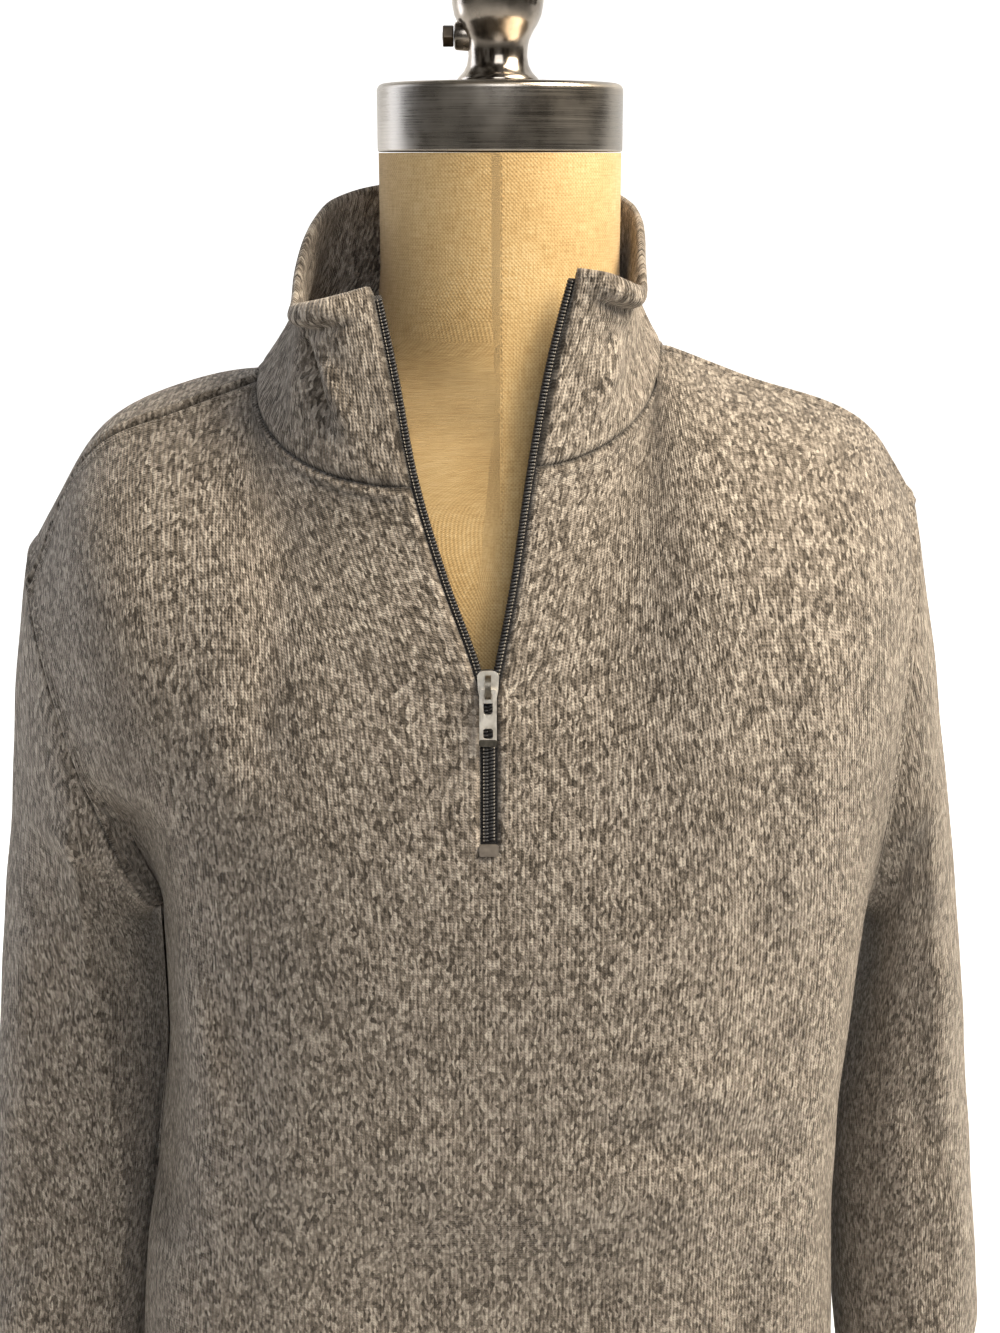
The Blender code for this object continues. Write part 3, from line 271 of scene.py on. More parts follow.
# folds of the two panels: a line as seen from the front, its height off the cloth and its half width
folds = np.array([
    # x low, z low, x high, z high, height, half width, front -1 or back +1
    (-0.1740, 0.300, -0.1780, 0.500, -0.0260, 0.021, -1),
    (-0.1780, 0.180, -0.1500, 0.420, 0.0050, 0.018, -1),
    (-0.1420, 0.250, -0.1150, 0.480, -0.0030, 0.022, -1),
    (0.1600, 0.260, 0.1700, 0.440, 0.0040, 0.022, -1),
    (0.1250, 0.240, 0.1350, 0.470, -0.0030, 0.024, -1),
    (-0.1300, 0.180, -0.0900, 0.460, 0.0040, 0.028, 1),
    (0.1250, 0.180, 0.0950, 0.460, 0.0040, 0.028, 1),
    (-0.0200, 0.120, -0.0100, 0.400, -0.0030, 0.030, 1),
    # smaller ones, which the solids leave out
    (-0.1080, 0.560, -0.1010, 0.650, -0.0028, 0.012, -1),
    (-0.1300, 0.540, -0.1240, 0.640, 0.0020, 0.016, -1),
    (-0.1750, 0.520, -0.1420, 0.390, 0.0034, 0.010, -1),
    (-0.1520, 0.500, -0.1220, 0.360, -0.0020, 0.012, -1),
    (0.1480, 0.590, 0.1380, 0.480, 0.0030, 0.013, -1),
    (0.1250, 0.570, 0.1180, 0.450, -0.0022, 0.014, -1),
    (0.0800, 0.400, 0.1500, 0.370, 0.0026, 0.011, -1),
    (0.0500, 0.372, 0.1350, 0.345, -0.0026, 0.011, -1),
    (-0.1150, 0.345, -0.0300, 0.372, 0.0022, 0.012, -1),
    (-0.1200, 0.318, -0.0450, 0.338, -0.0022, 0.012, -1),
    (0.1450, 0.090, 0.1380, 0.300, 0.0032, 0.011, -1),
    (0.1220, 0.090, 0.1180, 0.280, -0.0030, 0.012, -1),
    (-0.1500, 0.080, -0.1420, 0.260, 0.0026, 0.012, -1),
    (-0.0700, 0.080, -0.0620, 0.230, 0.0022, 0.016, -1),
    (0.0450, 0.080, 0.0500, 0.240, 0.0024, 0.016, -1),
    (-0.0400, 0.100, -0.0400, 0.280, -0.0080, 0.050, -1),
    (0.0300, 0.100, 0.0300, 0.280, -0.0080, 0.050, -1),
    (-0.0900, 0.335, 0.0900, 0.335, 0.0030, 0.022, -1),
    (-0.1100, 0.560, -0.1300, 0.680, -0.0030, 0.014, 1),
    (0.1000, 0.560, 0.1250, 0.680, -0.0030, 0.014, 1),
    (-0.0900, 0.640, 0.0700, 0.650, 0.0024, 0.016, 1),
    (-0.0800, 0.605, 0.0500, 0.600, -0.0024, 0.016, 1),
    (-0.1550, 0.480, -0.0900, 0.400, 0.0030, 0.013, 1),
    (0.1500, 0.480, 0.0800, 0.390, 0.0030, 0.013, 1),
    (-0.0600, 0.090, -0.0550, 0.260, 0.0026, 0.016, 1),
    (0.0650, 0.090, 0.0600, 0.250, 0.0026, 0.016, 1),
])

# creases of the sleeves and the collar, along a line between two places on the piece
creases = {
    # degrees round from the outer side by the front and share of the length, at both ends; height, half width
    "sleeveRight": (
        (150, 0.06, 95, 0.22, -0.0045, 0.010), (120, 0.10, 60, 0.26, 0.0030, 0.009),
        (100, 0.34, 40, 0.44, 0.0022, 0.010), (110, 0.40, 50, 0.50, -0.0024, 0.009),
        (90, 0.52, 30, 0.60, 0.0020, 0.010), (30, 0.15, 20, 0.60, -0.0018, 0.012),
        (100, 0.62, 45, 0.72, -0.0026, 0.009), (95, 0.68, 40, 0.78, 0.0026, 0.009),
        (60, 0.80, -20, 0.86, -0.0024, 0.008), (70, 0.86, -10, 0.92, 0.0024, 0.008),
        (-60, 0.20, -120, 0.36, -0.0036, 0.012), (-50, 0.48, -130, 0.60, 0.0030, 0.012),
        (-60, 0.70, -140, 0.80, -0.0030, 0.011),
    ),
    "sleeveLeft": (
        (150, 0.05, 90, 0.20, -0.0042, 0.010), (110, 0.12, 50, 0.30, 0.0026, 0.010),
        (95, 0.30, 50, 0.46, -0.0024, 0.010), (80, 0.42, 30, 0.54, 0.0022, 0.010),
        (100, 0.56, 40, 0.66, -0.0026, 0.009), (90, 0.64, 30, 0.74, 0.0026, 0.009),
        (60, 0.78, -20, 0.84, -0.0024, 0.008), (70, 0.84, -10, 0.91, 0.0024, 0.008),
        (-60, 0.18, -120, 0.34, -0.0036, 0.012), (-50, 0.46, -130, 0.58, 0.0030, 0.012),
        (-60, 0.68, -140, 0.79, -0.0030, 0.011),
    ),
    # share round from the left front edge by the back and share of the height, at both ends; height, half width
    "collar": (
        (0.118, 0.88, 0.070, 0.26, -0.0078, 0.0046), (0.092, 0.80, 0.050, 0.28, 0.0040, 0.0056),
        (0.145, 0.72, 0.120, 0.15, 0.0034, 0.0080), (0.030, 0.850, 0.125, 0.840, -0.0042, 0.0024),
        (0.030, 0.945, 0.125, 0.940, 0.0030, 0.0042), (0.875, 0.850, 0.970, 0.850, -0.0042, 0.0024),
        (0.875, 0.945, 0.970, 0.945, 0.0030, 0.0042), (0.895, 0.75, 0.935, 0.20, 0.0030, 0.0070),
        (0.870, 0.62, 0.880, 0.15, -0.0020, 0.0080), (0.250, 0.80, 0.230, 0.25, -0.0022, 0.0090),
        (0.760, 0.75, 0.780, 0.25, -0.0022, 0.0090), (0.400, 0.55, 0.600, 0.50, -0.0016, 0.0100),
    ),
}


# a hex colour as it is seen, turned to the linear values that shaders use
def linear(colour):
    values = [int(colour[k:k + 2], 16) / 255 for k in (1, 3, 5)]
    return [v / 12.92 if v <= 0.04045 else ((v + 0.055) / 1.055) ** 2.4 for v in values] + [1.0]


# sets a node's inputs, each to a value or to the socket that feeds it
def feed(tree, node, inputs):
    for key, value in inputs.items():
        if isinstance(value, bpy.types.NodeSocket):
            tree.links.new(value, node.inputs[key])
        else:
            node.inputs[key].default_value = value


# adds a node with its inputs, the stops of its ramp and its settings; gives the output asked for
def add(tree, kind, inputs=None, out=0, stops=(), **settings):
    node = tree.nodes.new("ShaderNode" + kind)
    for name, value in settings.items():
        setattr(node, name, value)
    feed(tree, node, inputs or {})
    if stops:
        elements = node.color_ramp.elements
        while len(elements) < len(stops):
            elements.new(0.5)
        for element, (place, colour) in zip(elements, stops):
            element.position = place
            element.color = linear(colour)
    return node.outputs[out]


def newMaterial(name):
    made = bpy.data.materials.new(name)
    made.use_nodes = True
    return made, made.node_tree


# what the shader of a material takes: plain values on its own sockets, or the output of a node
def finished(made, inputs):
    feed(made.node_tree, made.node_tree.nodes["Principled BSDF"], inputs)
    return made


# acrylic and wool sweater knit, marled and brushed: short dark and pale dashes that run up the wales
def makeKnit():
    look = {
        "wale": 1.9 * mm,        # drawn a little coarser than the real 1.6 mm, to show at this distance
        "course": 1.5 * mm,
        "dash": (1.2 * mm, 3.2 * mm),
        "patch": 14 * mm,
        "fuzz": 0.9 * mm,
        "wobble": 6 * mm,        # length of the wales' wobble
        "sway": 1.3 * mm,        # and how far it carries them
        "dark": "#433c34", "brown": "#655c51", "mid": "#82786c", "pale": "#a09588", "cream": "#bfb4a5",
    }
    made, tree = newMaterial("sweaterKnit")
    weave = add(tree, "UVMap", uv_map="weave")
    place = add(tree, "TexCoord", out="Object")
    # wobble, so that the wales are not ruled lines
    wobble = add(tree, "TexNoise", {"Vector": place, "Scale": 1 / look["wobble"], "Detail": 2.0}, "Color")
    shift = add(tree, "VectorMath", {0: wobble, 1: (0.5, 0.5, 0.5)}, operation="SUBTRACT")
    shift = add(tree, "VectorMath", {0: shift, "Scale": look["sway"]}, operation="SCALE")
    bent = add(tree, "VectorMath", {0: weave, 1: shift}, operation="ADD")
    dashes = []
    for index, (wide, tall) in enumerate(((1.0, 1.0), (1.35, 0.62))):
        size = (1 / (look["dash"][0] * wide), 1 / (look["dash"][1] * tall), 1)
        spot = add(tree, "Mapping", {"Vector": bent, "Location": (0.37 * index, 0.11 * index, 0), "Scale": size})
        cell = add(tree, "TexVoronoi", {"Vector": spot, "Scale": 1.0, "Randomness": 0.9}, "Color",
                   voronoi_dimensions="2D")
        dashes.append(add(tree, "SeparateColor", {0: cell}, index))
    patches = add(tree, "TexNoise", {"Vector": place, "Scale": 1 / look["patch"], "Detail": 3.0})
    fuzz = add(tree, "TexNoise", {"Vector": place, "Scale": 1 / look["fuzz"], "Detail": 3.0})
    tone = -0.16
    for part, weight in ((dashes[0], 0.50), (dashes[1], 0.30), (fuzz, 0.30), (patches, 0.22)):
        tone = add(tree, "Math", {0: part, 1: weight, 2: tone}, operation="MULTIPLY_ADD")
    shades = ("dark", "brown", "mid", "pale", "cream")
    stops = [(at, look[shade]) for at, shade in zip((0.18, 0.34, 0.50, 0.66, 0.84), shades)]
    colour = add(tree, "ValToRGB", {0: tone}, stops=stops)
    # wales: rounded columns of V-shaped loops
    across = add(tree, "SeparateXYZ", {0: bent})
    along = across.node.outputs[1]
    column = add(tree, "Math", {0: across, 1: math.pi / look["wale"]}, operation="MULTIPLY")
    wale = add(tree, "Math", {0: add(tree, "Math", {0: column}, operation="SINE")}, operation="ABSOLUTE")
    row = add(tree, "Math", {0: along, 1: 2 * math.pi / look["course"]}, operation="MULTIPLY")
    row = add(tree, "Math", {0: wale, 1: 2.4, 2: row}, operation="MULTIPLY_ADD")
    loop = add(tree, "Math", {0: row}, operation="SINE")
    # painted shade: the wales are darker in their valleys and a little lighter on their crests, and the seams,
    # hems and rows of stitches are darker where the cloth is drawn in
    sewn = add(tree, "Attribute", attribute_name="sewn", out="Fac")
    for part, low, high in ((wale, 0.80, 1.06), (sewn, 1.0, 0.30)):
        shade = add(tree, "MapRange", {0: part, 3: low, 4: high})
        colour = add(tree, "Mix", {0: 1.0, 6: colour, 7: shade}, 2, data_type="RGBA", blend_type="MULTIPLY")
    height = 0.0
    for part, weight in ((wale, 0.55), (loop, 0.16), (fuzz, 0.75), (dashes[0], 0.12)):
        height = add(tree, "Math", {0: part, 1: weight, 2: height}, operation="MULTIPLY_ADD")
    return finished(made, {
        "Base Color": colour, "Roughness": 0.92, "Specular IOR Level": 0.22,
        "Sheen Weight": 0.38, "Sheen Roughness": 0.42, "Sheen Tint": linear("#efe6da"),
        "Normal": add(tree, "Bump", {"Height": height, "Distance": 0.75 * mm, "Strength": 0.9})})


# spun polyester sewing thread, twisted: dull grey-brown with a slight gloss
def makeThread(name, dark, pale):
    made, tree = newMaterial(name)
    place = add(tree, "TexCoord", out="Object")
    twist = add(tree, "TexNoise", {"Vector": place, "Scale": 1 / (1.2 * mm), "Detail": 2.0})
    return finished(made, {
        "Base Color": add(tree, "ValToRGB", {0: twist}, stops=((0.3, dark), (0.7, pale))), "Roughness": 0.72,
        "Normal": add(tree, "Bump", {"Height": twist, "Distance": 0.15 * mm, "Strength": 0.6})})


# woven polyester zip tape, dyed charcoal: a fine herringbone with a soft gloss
def makeTape():
    made, tree = newMaterial("wovenZipTape")
    weave = add(tree, "UVMap", uv_map="weave")
    scaled = add(tree, "Mapping", {"Vector": weave, "Scale": (1 / (0.9 * mm), 1 / (0.8 * mm), 1)})
    ribs = add(tree, "TexWave", {"Vector": scaled, "Scale": 0.5, "Distortion": 0.4}, 1, bands_direction="DIAGONAL")
    specks = add(tree, "TexNoise", {"Vector": scaled, "Scale": 1.2, "Detail": 2.0})
    both = add(tree, "Math", {0: ribs, 1: 0.6}, operation="MULTIPLY")
    both = add(tree, "Math", {0: specks, 1: 0.5, 2: both}, operation="MULTIPLY_ADD")
    return finished(made, {
        "Base Color": add(tree, "ValToRGB", {0: both}, stops=((0.2, "#211f1e"), (0.8, "#46423f"))),
        "Roughness": 0.82, "Sheen Weight": 0.12,
        "Normal": add(tree, "Bump", {"Height": both, "Distance": 0.25 * mm, "Strength": 0.8})})


# nylon monofilament coil, extruded and heat set: near black with small sharp glints
def makeCoil(name, dark, pale, roughness):
    made, tree = newMaterial(name)
    place = add(tree, "TexCoord", out="Object")
    cloudy = add(tree, "TexNoise", {"Vector": place, "Scale": 1 / (3 * mm), "Detail": 3.0})
    return finished(made, {
        "Base Color": add(tree, "ValToRGB", {0: cloudy}, stops=((0.3, dark), (0.75, pale))), "IOR": 1.53,
        "Roughness": add(tree, "MapRange", {0: cloudy, 3: roughness - 0.08, 4: roughness + 0.12}),
        "Normal": add(tree, "Bump", {"Height": cloudy, "Distance": 0.05 * mm, "Strength": 0.4})})


# plated zinc casting, tumbled: metal with soft scratches, darker where the plating has dulled
def makePlated(name, dark, pale, roughness):
    made, tree = newMaterial(name)
    place = add(tree, "TexCoord", out="Object")
    cloudy = add(tree, "TexNoise", {"Vector": place, "Scale": 1 / (5 * mm), "Detail": 5.0})
    scaled = add(tree, "Mapping", {"Vector": place, "Scale": (1 / (0.5 * mm), 1 / (2 * mm), 1 / (4 * mm))})
    scratches = add(tree, "TexNoise", {"Vector": scaled, "Scale": 1.0, "Detail": 3.0})
    return finished(made, {
        "Base Color": add(tree, "ValToRGB", {0: cloudy}, stops=((0.32, dark), (0.62, pale))), "Metallic": 1.0,
        "Roughness": add(tree, "MapRange", {0: scratches, 1: 0.3, 2: 0.7,
                                            3: roughness - 0.07, 4: roughness + 0.12}),
        "Normal": add(tree, "Bump", {"Height": scratches, "Distance": 0.03 * mm, "Strength": 0.5})})


# linen canvas, unbleached and plain woven: thread over thread, with slubs and yellowed patches
def makeCanvas():
    look = {
        "thread": 0.95 * mm,     # drawn coarser than the real 0.7 mm, to show at this distance
        "slub": (0.7 * mm, 9 * mm),
        "stain": 50 * mm,
        "dark": "#ab8b58", "mid": "#c6a570", "pale": "#dabf8d",
    }
    made, tree = newMaterial("linenCanvas")
    weave = add(tree, "UVMap", uv_map="weave")
    place = add(tree, "TexCoord", out="Object")
    threads, grain = [], []
    thick, long = look["slub"]
    for axis, stretch in enumerate(((1 / thick, 1 / long, 1), (1 / long, 1 / thick, 1))):
        part = add(tree, "SeparateXYZ", {0: weave}, axis)
        spun = add(tree, "Math", {0: part, 1: math.pi / look["thread"]}, operation="MULTIPLY")
        threads.append(add(tree, "Math", {0: spun}, operation="SINE"))
        scaled = add(tree, "Mapping", {"Vector": weave, "Scale": stretch})
        grain.append(add(tree, "TexNoise", {"Vector": scaled, "Scale": 1.0, "Detail": 2.0}))
    over = add(tree, "Math", {0: threads[0], 1: threads[1]}, operation="MULTIPLY")
    slubs = add(tree, "Math", {0: grain[0], 1: grain[1]}, operation="ADD")
    stains = add(tree, "TexNoise", {"Vector": place, "Scale": 1 / look["stain"], "Detail": 4.0})
    tone, height = 0.0, 0.0
    for part, weight in ((slubs, 0.34), (stains, 0.30), (over, 0.06)):
        tone = add(tree, "Math", {0: part, 1: weight, 2: tone}, operation="MULTIPLY_ADD")
    for part, weight in ((over, 0.5), (slubs, 0.6)):
        height = add(tree, "Math", {0: part, 1: weight, 2: height}, operation="MULTIPLY_ADD")
    return finished(made, {
        "Base Color": add(tree, "ValToRGB", {0: tone},
                          stops=((0.34, look["dark"]), (0.49, look["mid"]), (0.66, look["pale"]))),
        "Roughness": 0.86, "Specular IOR Level": 0.3, "Sheen Weight": 0.15,
        "Normal": add(tree, "Bump", {"Height": height, "Distance": 0.28 * mm, "Strength": 0.75})})


# steel, turned and brushed round its axis: fine rings that stretch each highlight into upright bands
def makeBrushedSteel():
    made, tree = newMaterial("brushedSteel")
    place = add(tree, "TexCoord", out="Object")
    rings = add(tree, "Mapping", {"Vector": place, "Scale": (1 / (50 * mm), 1 / (50 * mm), 1 / (0.35 * mm))})
    lines = add(tree, "TexNoise", {"Vector": rings, "Scale": 1.0, "Detail": 3.0})
    smears = add(tree, "TexNoise", {"Vector": place, "Scale": 1 / (20 * mm), "Detail": 4.0})
    both = add(tree, "Math", {0: lines, 1: 0.5}, operation="MULTIPLY")
    both = add(tree, "Math", {0: smears, 1: 0.5, 2: both}, operation="MULTIPLY_ADD")
    return finished(made, {
        "Base Color": add(tree, "ValToRGB", {0: both}, stops=((0.35, "#8f877c"), (0.65, "#bdb4a7"))),
        "Metallic": 1.0, "Anisotropic": 0.6,
        "Roughness": add(tree, "MapRange", {0: both, 1: 0.35, 2: 0.65, 3: 0.22, 4: 0.38}),
        "Normal": add(tree, "Bump", {"Height": lines, "Distance": 0.02 * mm, "Strength": 0.5})})


# steel, turned and polished, handled for years: sharp reflections under faint smudges
def makeSteel(name, dark, pale, roughness):
    made, tree = newMaterial(name)
    place = add(tree, "TexCoord", out="Object")
    smudges = add(tree, "TexNoise", {"Vector": place, "Scale": 1 / (12 * mm), "Detail": 5.0})
    fine = add(tree, "TexNoise", {"Vector": place, "Scale": 1 / (0.6 * mm), "Detail": 2.0})
    return finished(made, {
        "Base Color": add(tree, "ValToRGB", {0: smudges}, stops=((0.35, dark), (0.62, pale))), "Metallic": 1.0,
        "Roughness": add(tree, "MapRange", {0: smudges, 1: 0.3, 2: 0.7, 3: roughness, 4: roughness + 0.16}),
        "Normal": add(tree, "Bump", {"Height": fine, "Distance": 0.012 * mm, "Strength": 0.4})})


# beech, stained and lacquered: long dark grain lines with short flecks under a satin coat
def makeWood():
    made, tree = newMaterial("stainedBeech")
    place = add(tree, "TexCoord", out="Object")
    long = add(tree, "Mapping", {"Vector": place, "Scale": (1 / (60 * mm), 1 / (4 * mm), 1 / (4 * mm))})
    grain = add(tree, "TexNoise", {"Vector": long, "Scale": 1.0, "Detail": 5.0, "Distortion": 0.6})
    short = add(tree, "Mapping", {"Vector": place, "Scale": (1 / (6 * mm), 1 / (0.8 * mm), 1 / (0.8 * mm))})
    flecks = add(tree, "TexNoise", {"Vector": short, "Scale": 1.0, "Detail": 2.0})
    both = add(tree, "Math", {0: grain, 1: 0.75}, operation="MULTIPLY")
    both = add(tree, "Math", {0: flecks, 1: 0.3, 2: both}, operation="MULTIPLY_ADD")
    return finished(made, {
        "Base Color": add(tree, "ValToRGB", {0: both},
                          stops=((0.36, "#3c2416"), (0.54, "#6a4327"), (0.72, "#8a5d38"))),
        "Roughness": 0.42, "Coat Weight": 0.35, "Coat Roughness": 0.25,
        "Normal": add(tree, "Bump", {"Height": both, "Distance": 0.12 * mm, "Strength": 0.35})})


materials = {
    "knit": makeKnit(),
    "thread": makeThread("greyThread", "#5b544b", "#857c70"),
    "coilThread": makeThread("coilThread", "#7d766b", "#a79f92"),
    "linenThread": makeThread("linenThread", "#a98a58", "#d8bd8a"),
    "tape": makeTape(),
    "coil": makeCoil("nylonCoil", "#1f1e1f", "#3a3837", 0.34),
    "resin": makeCoil("mouldedResin", "#5c544b", "#766d62", 0.5),
    "nickel": makePlated("satinNickel", "#cdc3b2", "#f2eadb", 0.40),
    "pewter": makePlated("darkPewter", "#4f4a42", "#7d7669", 0.34),
    "canvas": makeCanvas(),
    "brushedSteel": makeBrushedSteel(),
    "polishedSteel": makeSteel("polishedSteel", "#8b8175", "#b5aa9c", 0.12),
    "dullSteel": makeSteel("dullSteel", "#3d352c", "#665b4e", 0.26),
    "stainedBeech": makeWood(),
}
print("materials made", len(materials))


def addObject(name, data):
    thing = bpy.data.objects.new(name, data)
    bpy.context.scene.collection.objects.link(thing)
    return thing


# a mesh with its material; places are its map in metres, wrapWidth the map's width where it closes round
def addMesh(name, points, faces, material, places=None, smooth=True, wrapWidth=None, sewn=None):
    mesh = bpy.data.meshes.new(name)
    if isinstance(faces, np.ndarray):
        mesh.from_pydata(points, [], faces.tolist())
    else:
        mesh.from_pydata([tuple(point) for point in points], [], faces)
    mesh.materials.append(material)
    if places is not None:
        layer = mesh.uv_layers.new(name="weave")
        corner = np.empty(len(mesh.loops), int)
        mesh.loops.foreach_get("vertex_index", corner)
        values = places[corner].copy()
        if wrapWidth:
            starts = np.array([face.loop_start for face in mesh.polygons])
            totals = np.array([face.loop_total for face in mesh.polygons])
            for start, total in zip(starts, totals):
                part = values[start:start + total, 0]
                if total == 4 and part.max() - part.min() > wrapWidth / 2:
                    values[start:start + total, 0] = np.where(part < wrapWidth / 2, part + wrapWidth, part)
        layer.data.foreach_set("uv", values.astype(np.float32).ravel())
    # painted shade along the seam, hem and stitch lines, kept on each point for the knit's colour
    if sewn is not None:
        layer = mesh.attributes.new("sewn", "FLOAT", "POINT")
        layer.data.foreach_set("value", sewn.astype(np.float32))
    if smooth:
        mesh.shade_smooth()
    return addObject(name, mesh)


# faces between rings of points, with both ends closed
def ringFaces(rings, around):
    faces = [[row * around + k, row * around + (k + 1) % around,
              (row + 1) * around + (k + 1) % around, (row + 1) * around + k]
             for row in range(rings - 1) for k in range(around)]
    return faces + [list(range(around))[::-1], [(rings - 1) * around + k for k in range(around)]]


def unit(vectors):
    length = np.linalg.norm(vectors, axis=-1, keepdims=True)
    return vectors / np.maximum(length, 1e-12)


# how far along a line each of its points lies
def runOf(line):
    return np.concatenate(([0], np.cumsum(np.linalg.norm(np.diff(line, axis=0), axis=1))))


# rows of values at new places of a run
def rowsAt(at, run, values):
    return np.stack([np.interp(at, run, column) for column in values.T], -1)


# rows of a table at new values of its first column, on smooth curves with no overshoot
def smoothTable(table, at):
    at = np.clip(np.asarray(at, float), table[0, 0], table[-1, 0])
    keys = table[:, 0]
    step = np.diff(keys)[:, None]
    rate = np.diff(table[:, 1:], axis=0) / step
    slope = np.vstack([rate[:1], 0.5 * (rate[1:] + rate[:-1]), rate[-1:]])
    turned = rate[1:] * rate[:-1] <= 0
    slope[1:-1][turned] = 0
    spot = np.clip(np.searchsorted(keys, at, side="right") - 1, 0, len(keys) - 2)
    width = step[spot]
    share = ((at - keys[spot])[..., None]) / width
    low, high = table[spot, 1:], table[spot + 1, 1:]
    return (low * (1 + 2 * share) * (1 - share) ** 2 + high * share ** 2 * (3 - 2 * share)
            + width * (slope[spot] * share * (1 - share) ** 2
                       - slope[spot + 1] * share ** 2 * (1 - share)))


# across and depth values spread evenly along a quarter oval, from near its middle to its side
def quarterRing(halfWidth, halfDepth, squareness, start, shares):
    turn = np.linspace(0, math.pi / 2, 181)
    across = halfWidth * np.sin(turn) ** (2 / squareness)
    deep = halfDepth * np.cos(turn) ** (2 / squareness)
    run = np.concatenate(([0], np.cumsum(np.hypot(np.diff(across), np.diff(deep)))))
    wanted = start + (run[-1] - start) * shares
    return np.interp(wanted, run, across), np.interp(wanted, run, deep)


# middle line of one coil at given heights
def zipLine(side, heights):
    rows = smoothTable(zipper["line"], heights)
    sign = sides[side]["sign"]
    return np.stack([rows[..., 0] + sign * rows[..., 1], rows[..., 2], np.asarray(heights)], -1)


# the cloth edge beside that coil
def slitEdge(side, heights, out=zipper["edge"]):
    sign = sides[side]["sign"]
    away = unit(np.array([sign, 0.18, 0.12]))
    return zipLine(side, heights) + out * away


# from the front edge or the middle of the back (share 0) to the shoulder seam (share 1)
def neckline(side, shares, back=False):
    info = sides[side]
    shares = np.asarray(shares, float)
    middleX, middleY = neck["middle"]
    if back:
        turn = shares * math.pi / 2
        x = middleX + info["sign"] * neck["half"] * np.sin(turn)
        y = middleY + neck["back"] * np.cos(turn)
        z = neck["backHeight"] + (info["neckSideHeight"] - neck["backHeight"]) * (1 - np.cos(turn))
        return np.stack([x, y, z], -1)
    edge = slitEdge(side, np.array([info["neckFrontHeight"]]))[0]
    start = math.asin(min(1, abs(edge[0] - middleX) / neck["half"]))
    turn = start + shares * (math.pi / 2 - start)
    x = middleX + info["sign"] * neck["half"] * np.sin(turn)
    y = middleY - neck["front"] * np.cos(turn)
    rise = ((math.cos(start) - np.cos(turn)) / math.cos(start)) ** neck["rise"]
    z = info["neckFrontHeight"] + (info["neckSideHeight"] - info["neckFrontHeight"]) * rise
    oval = np.stack([x, y, z], -1)
    settle = np.clip(1 - shares / 0.4, 0, 1) ** 2
    return oval + (edge - oval[0]) * settle[..., None]


def armhole(side, angles):
    return sleeveOval(sleeve["sections"][side][0], angles)


# points of a sleeve section; angle 0 is its outer point, pi its inner one, negative the back
def sleeveOval(row, angles):
    outer, inner = row[0:3], row[3:6]
    front, back, crest, ridge, trough = row[6:]
    along = np.cos(angles)
    points = (outer + inner) / 2 + along[..., None] * (outer - inner) / 2
    shifted = np.where(along > crest, (along - crest) / (1 - crest), (along - crest) / (1 + crest))
    roundDepth = np.abs(np.sin(angles))
    sharpDepth = np.sqrt(np.maximum(1 - np.abs(shifted), 0))
    dip = trough * np.exp(-((along - crest) / 0.28) ** 2)
    frontDepth = front * ((1 - ridge) * roundDepth + ridge * sharpDepth) - dip
    depth = np.where(angles > 0, -frontDepth, back * roundDepth)
    points[..., 1] += depth
    return points


# from the neckline (share 0) to the armhole (share 1)
def shoulderSeam(side, shares):
    info = sides[side]
    start = neckline(side, np.array([1.0]))[0]
    end = armhole(side, np.array([math.radians(info["armholeStart"])]))[0]
    stops = np.array([start, *info["shoulder"], end])
    run = runOf(stops)
    table = np.column_stack([run / run[-1], stops])
    return smoothTable(table, shares)


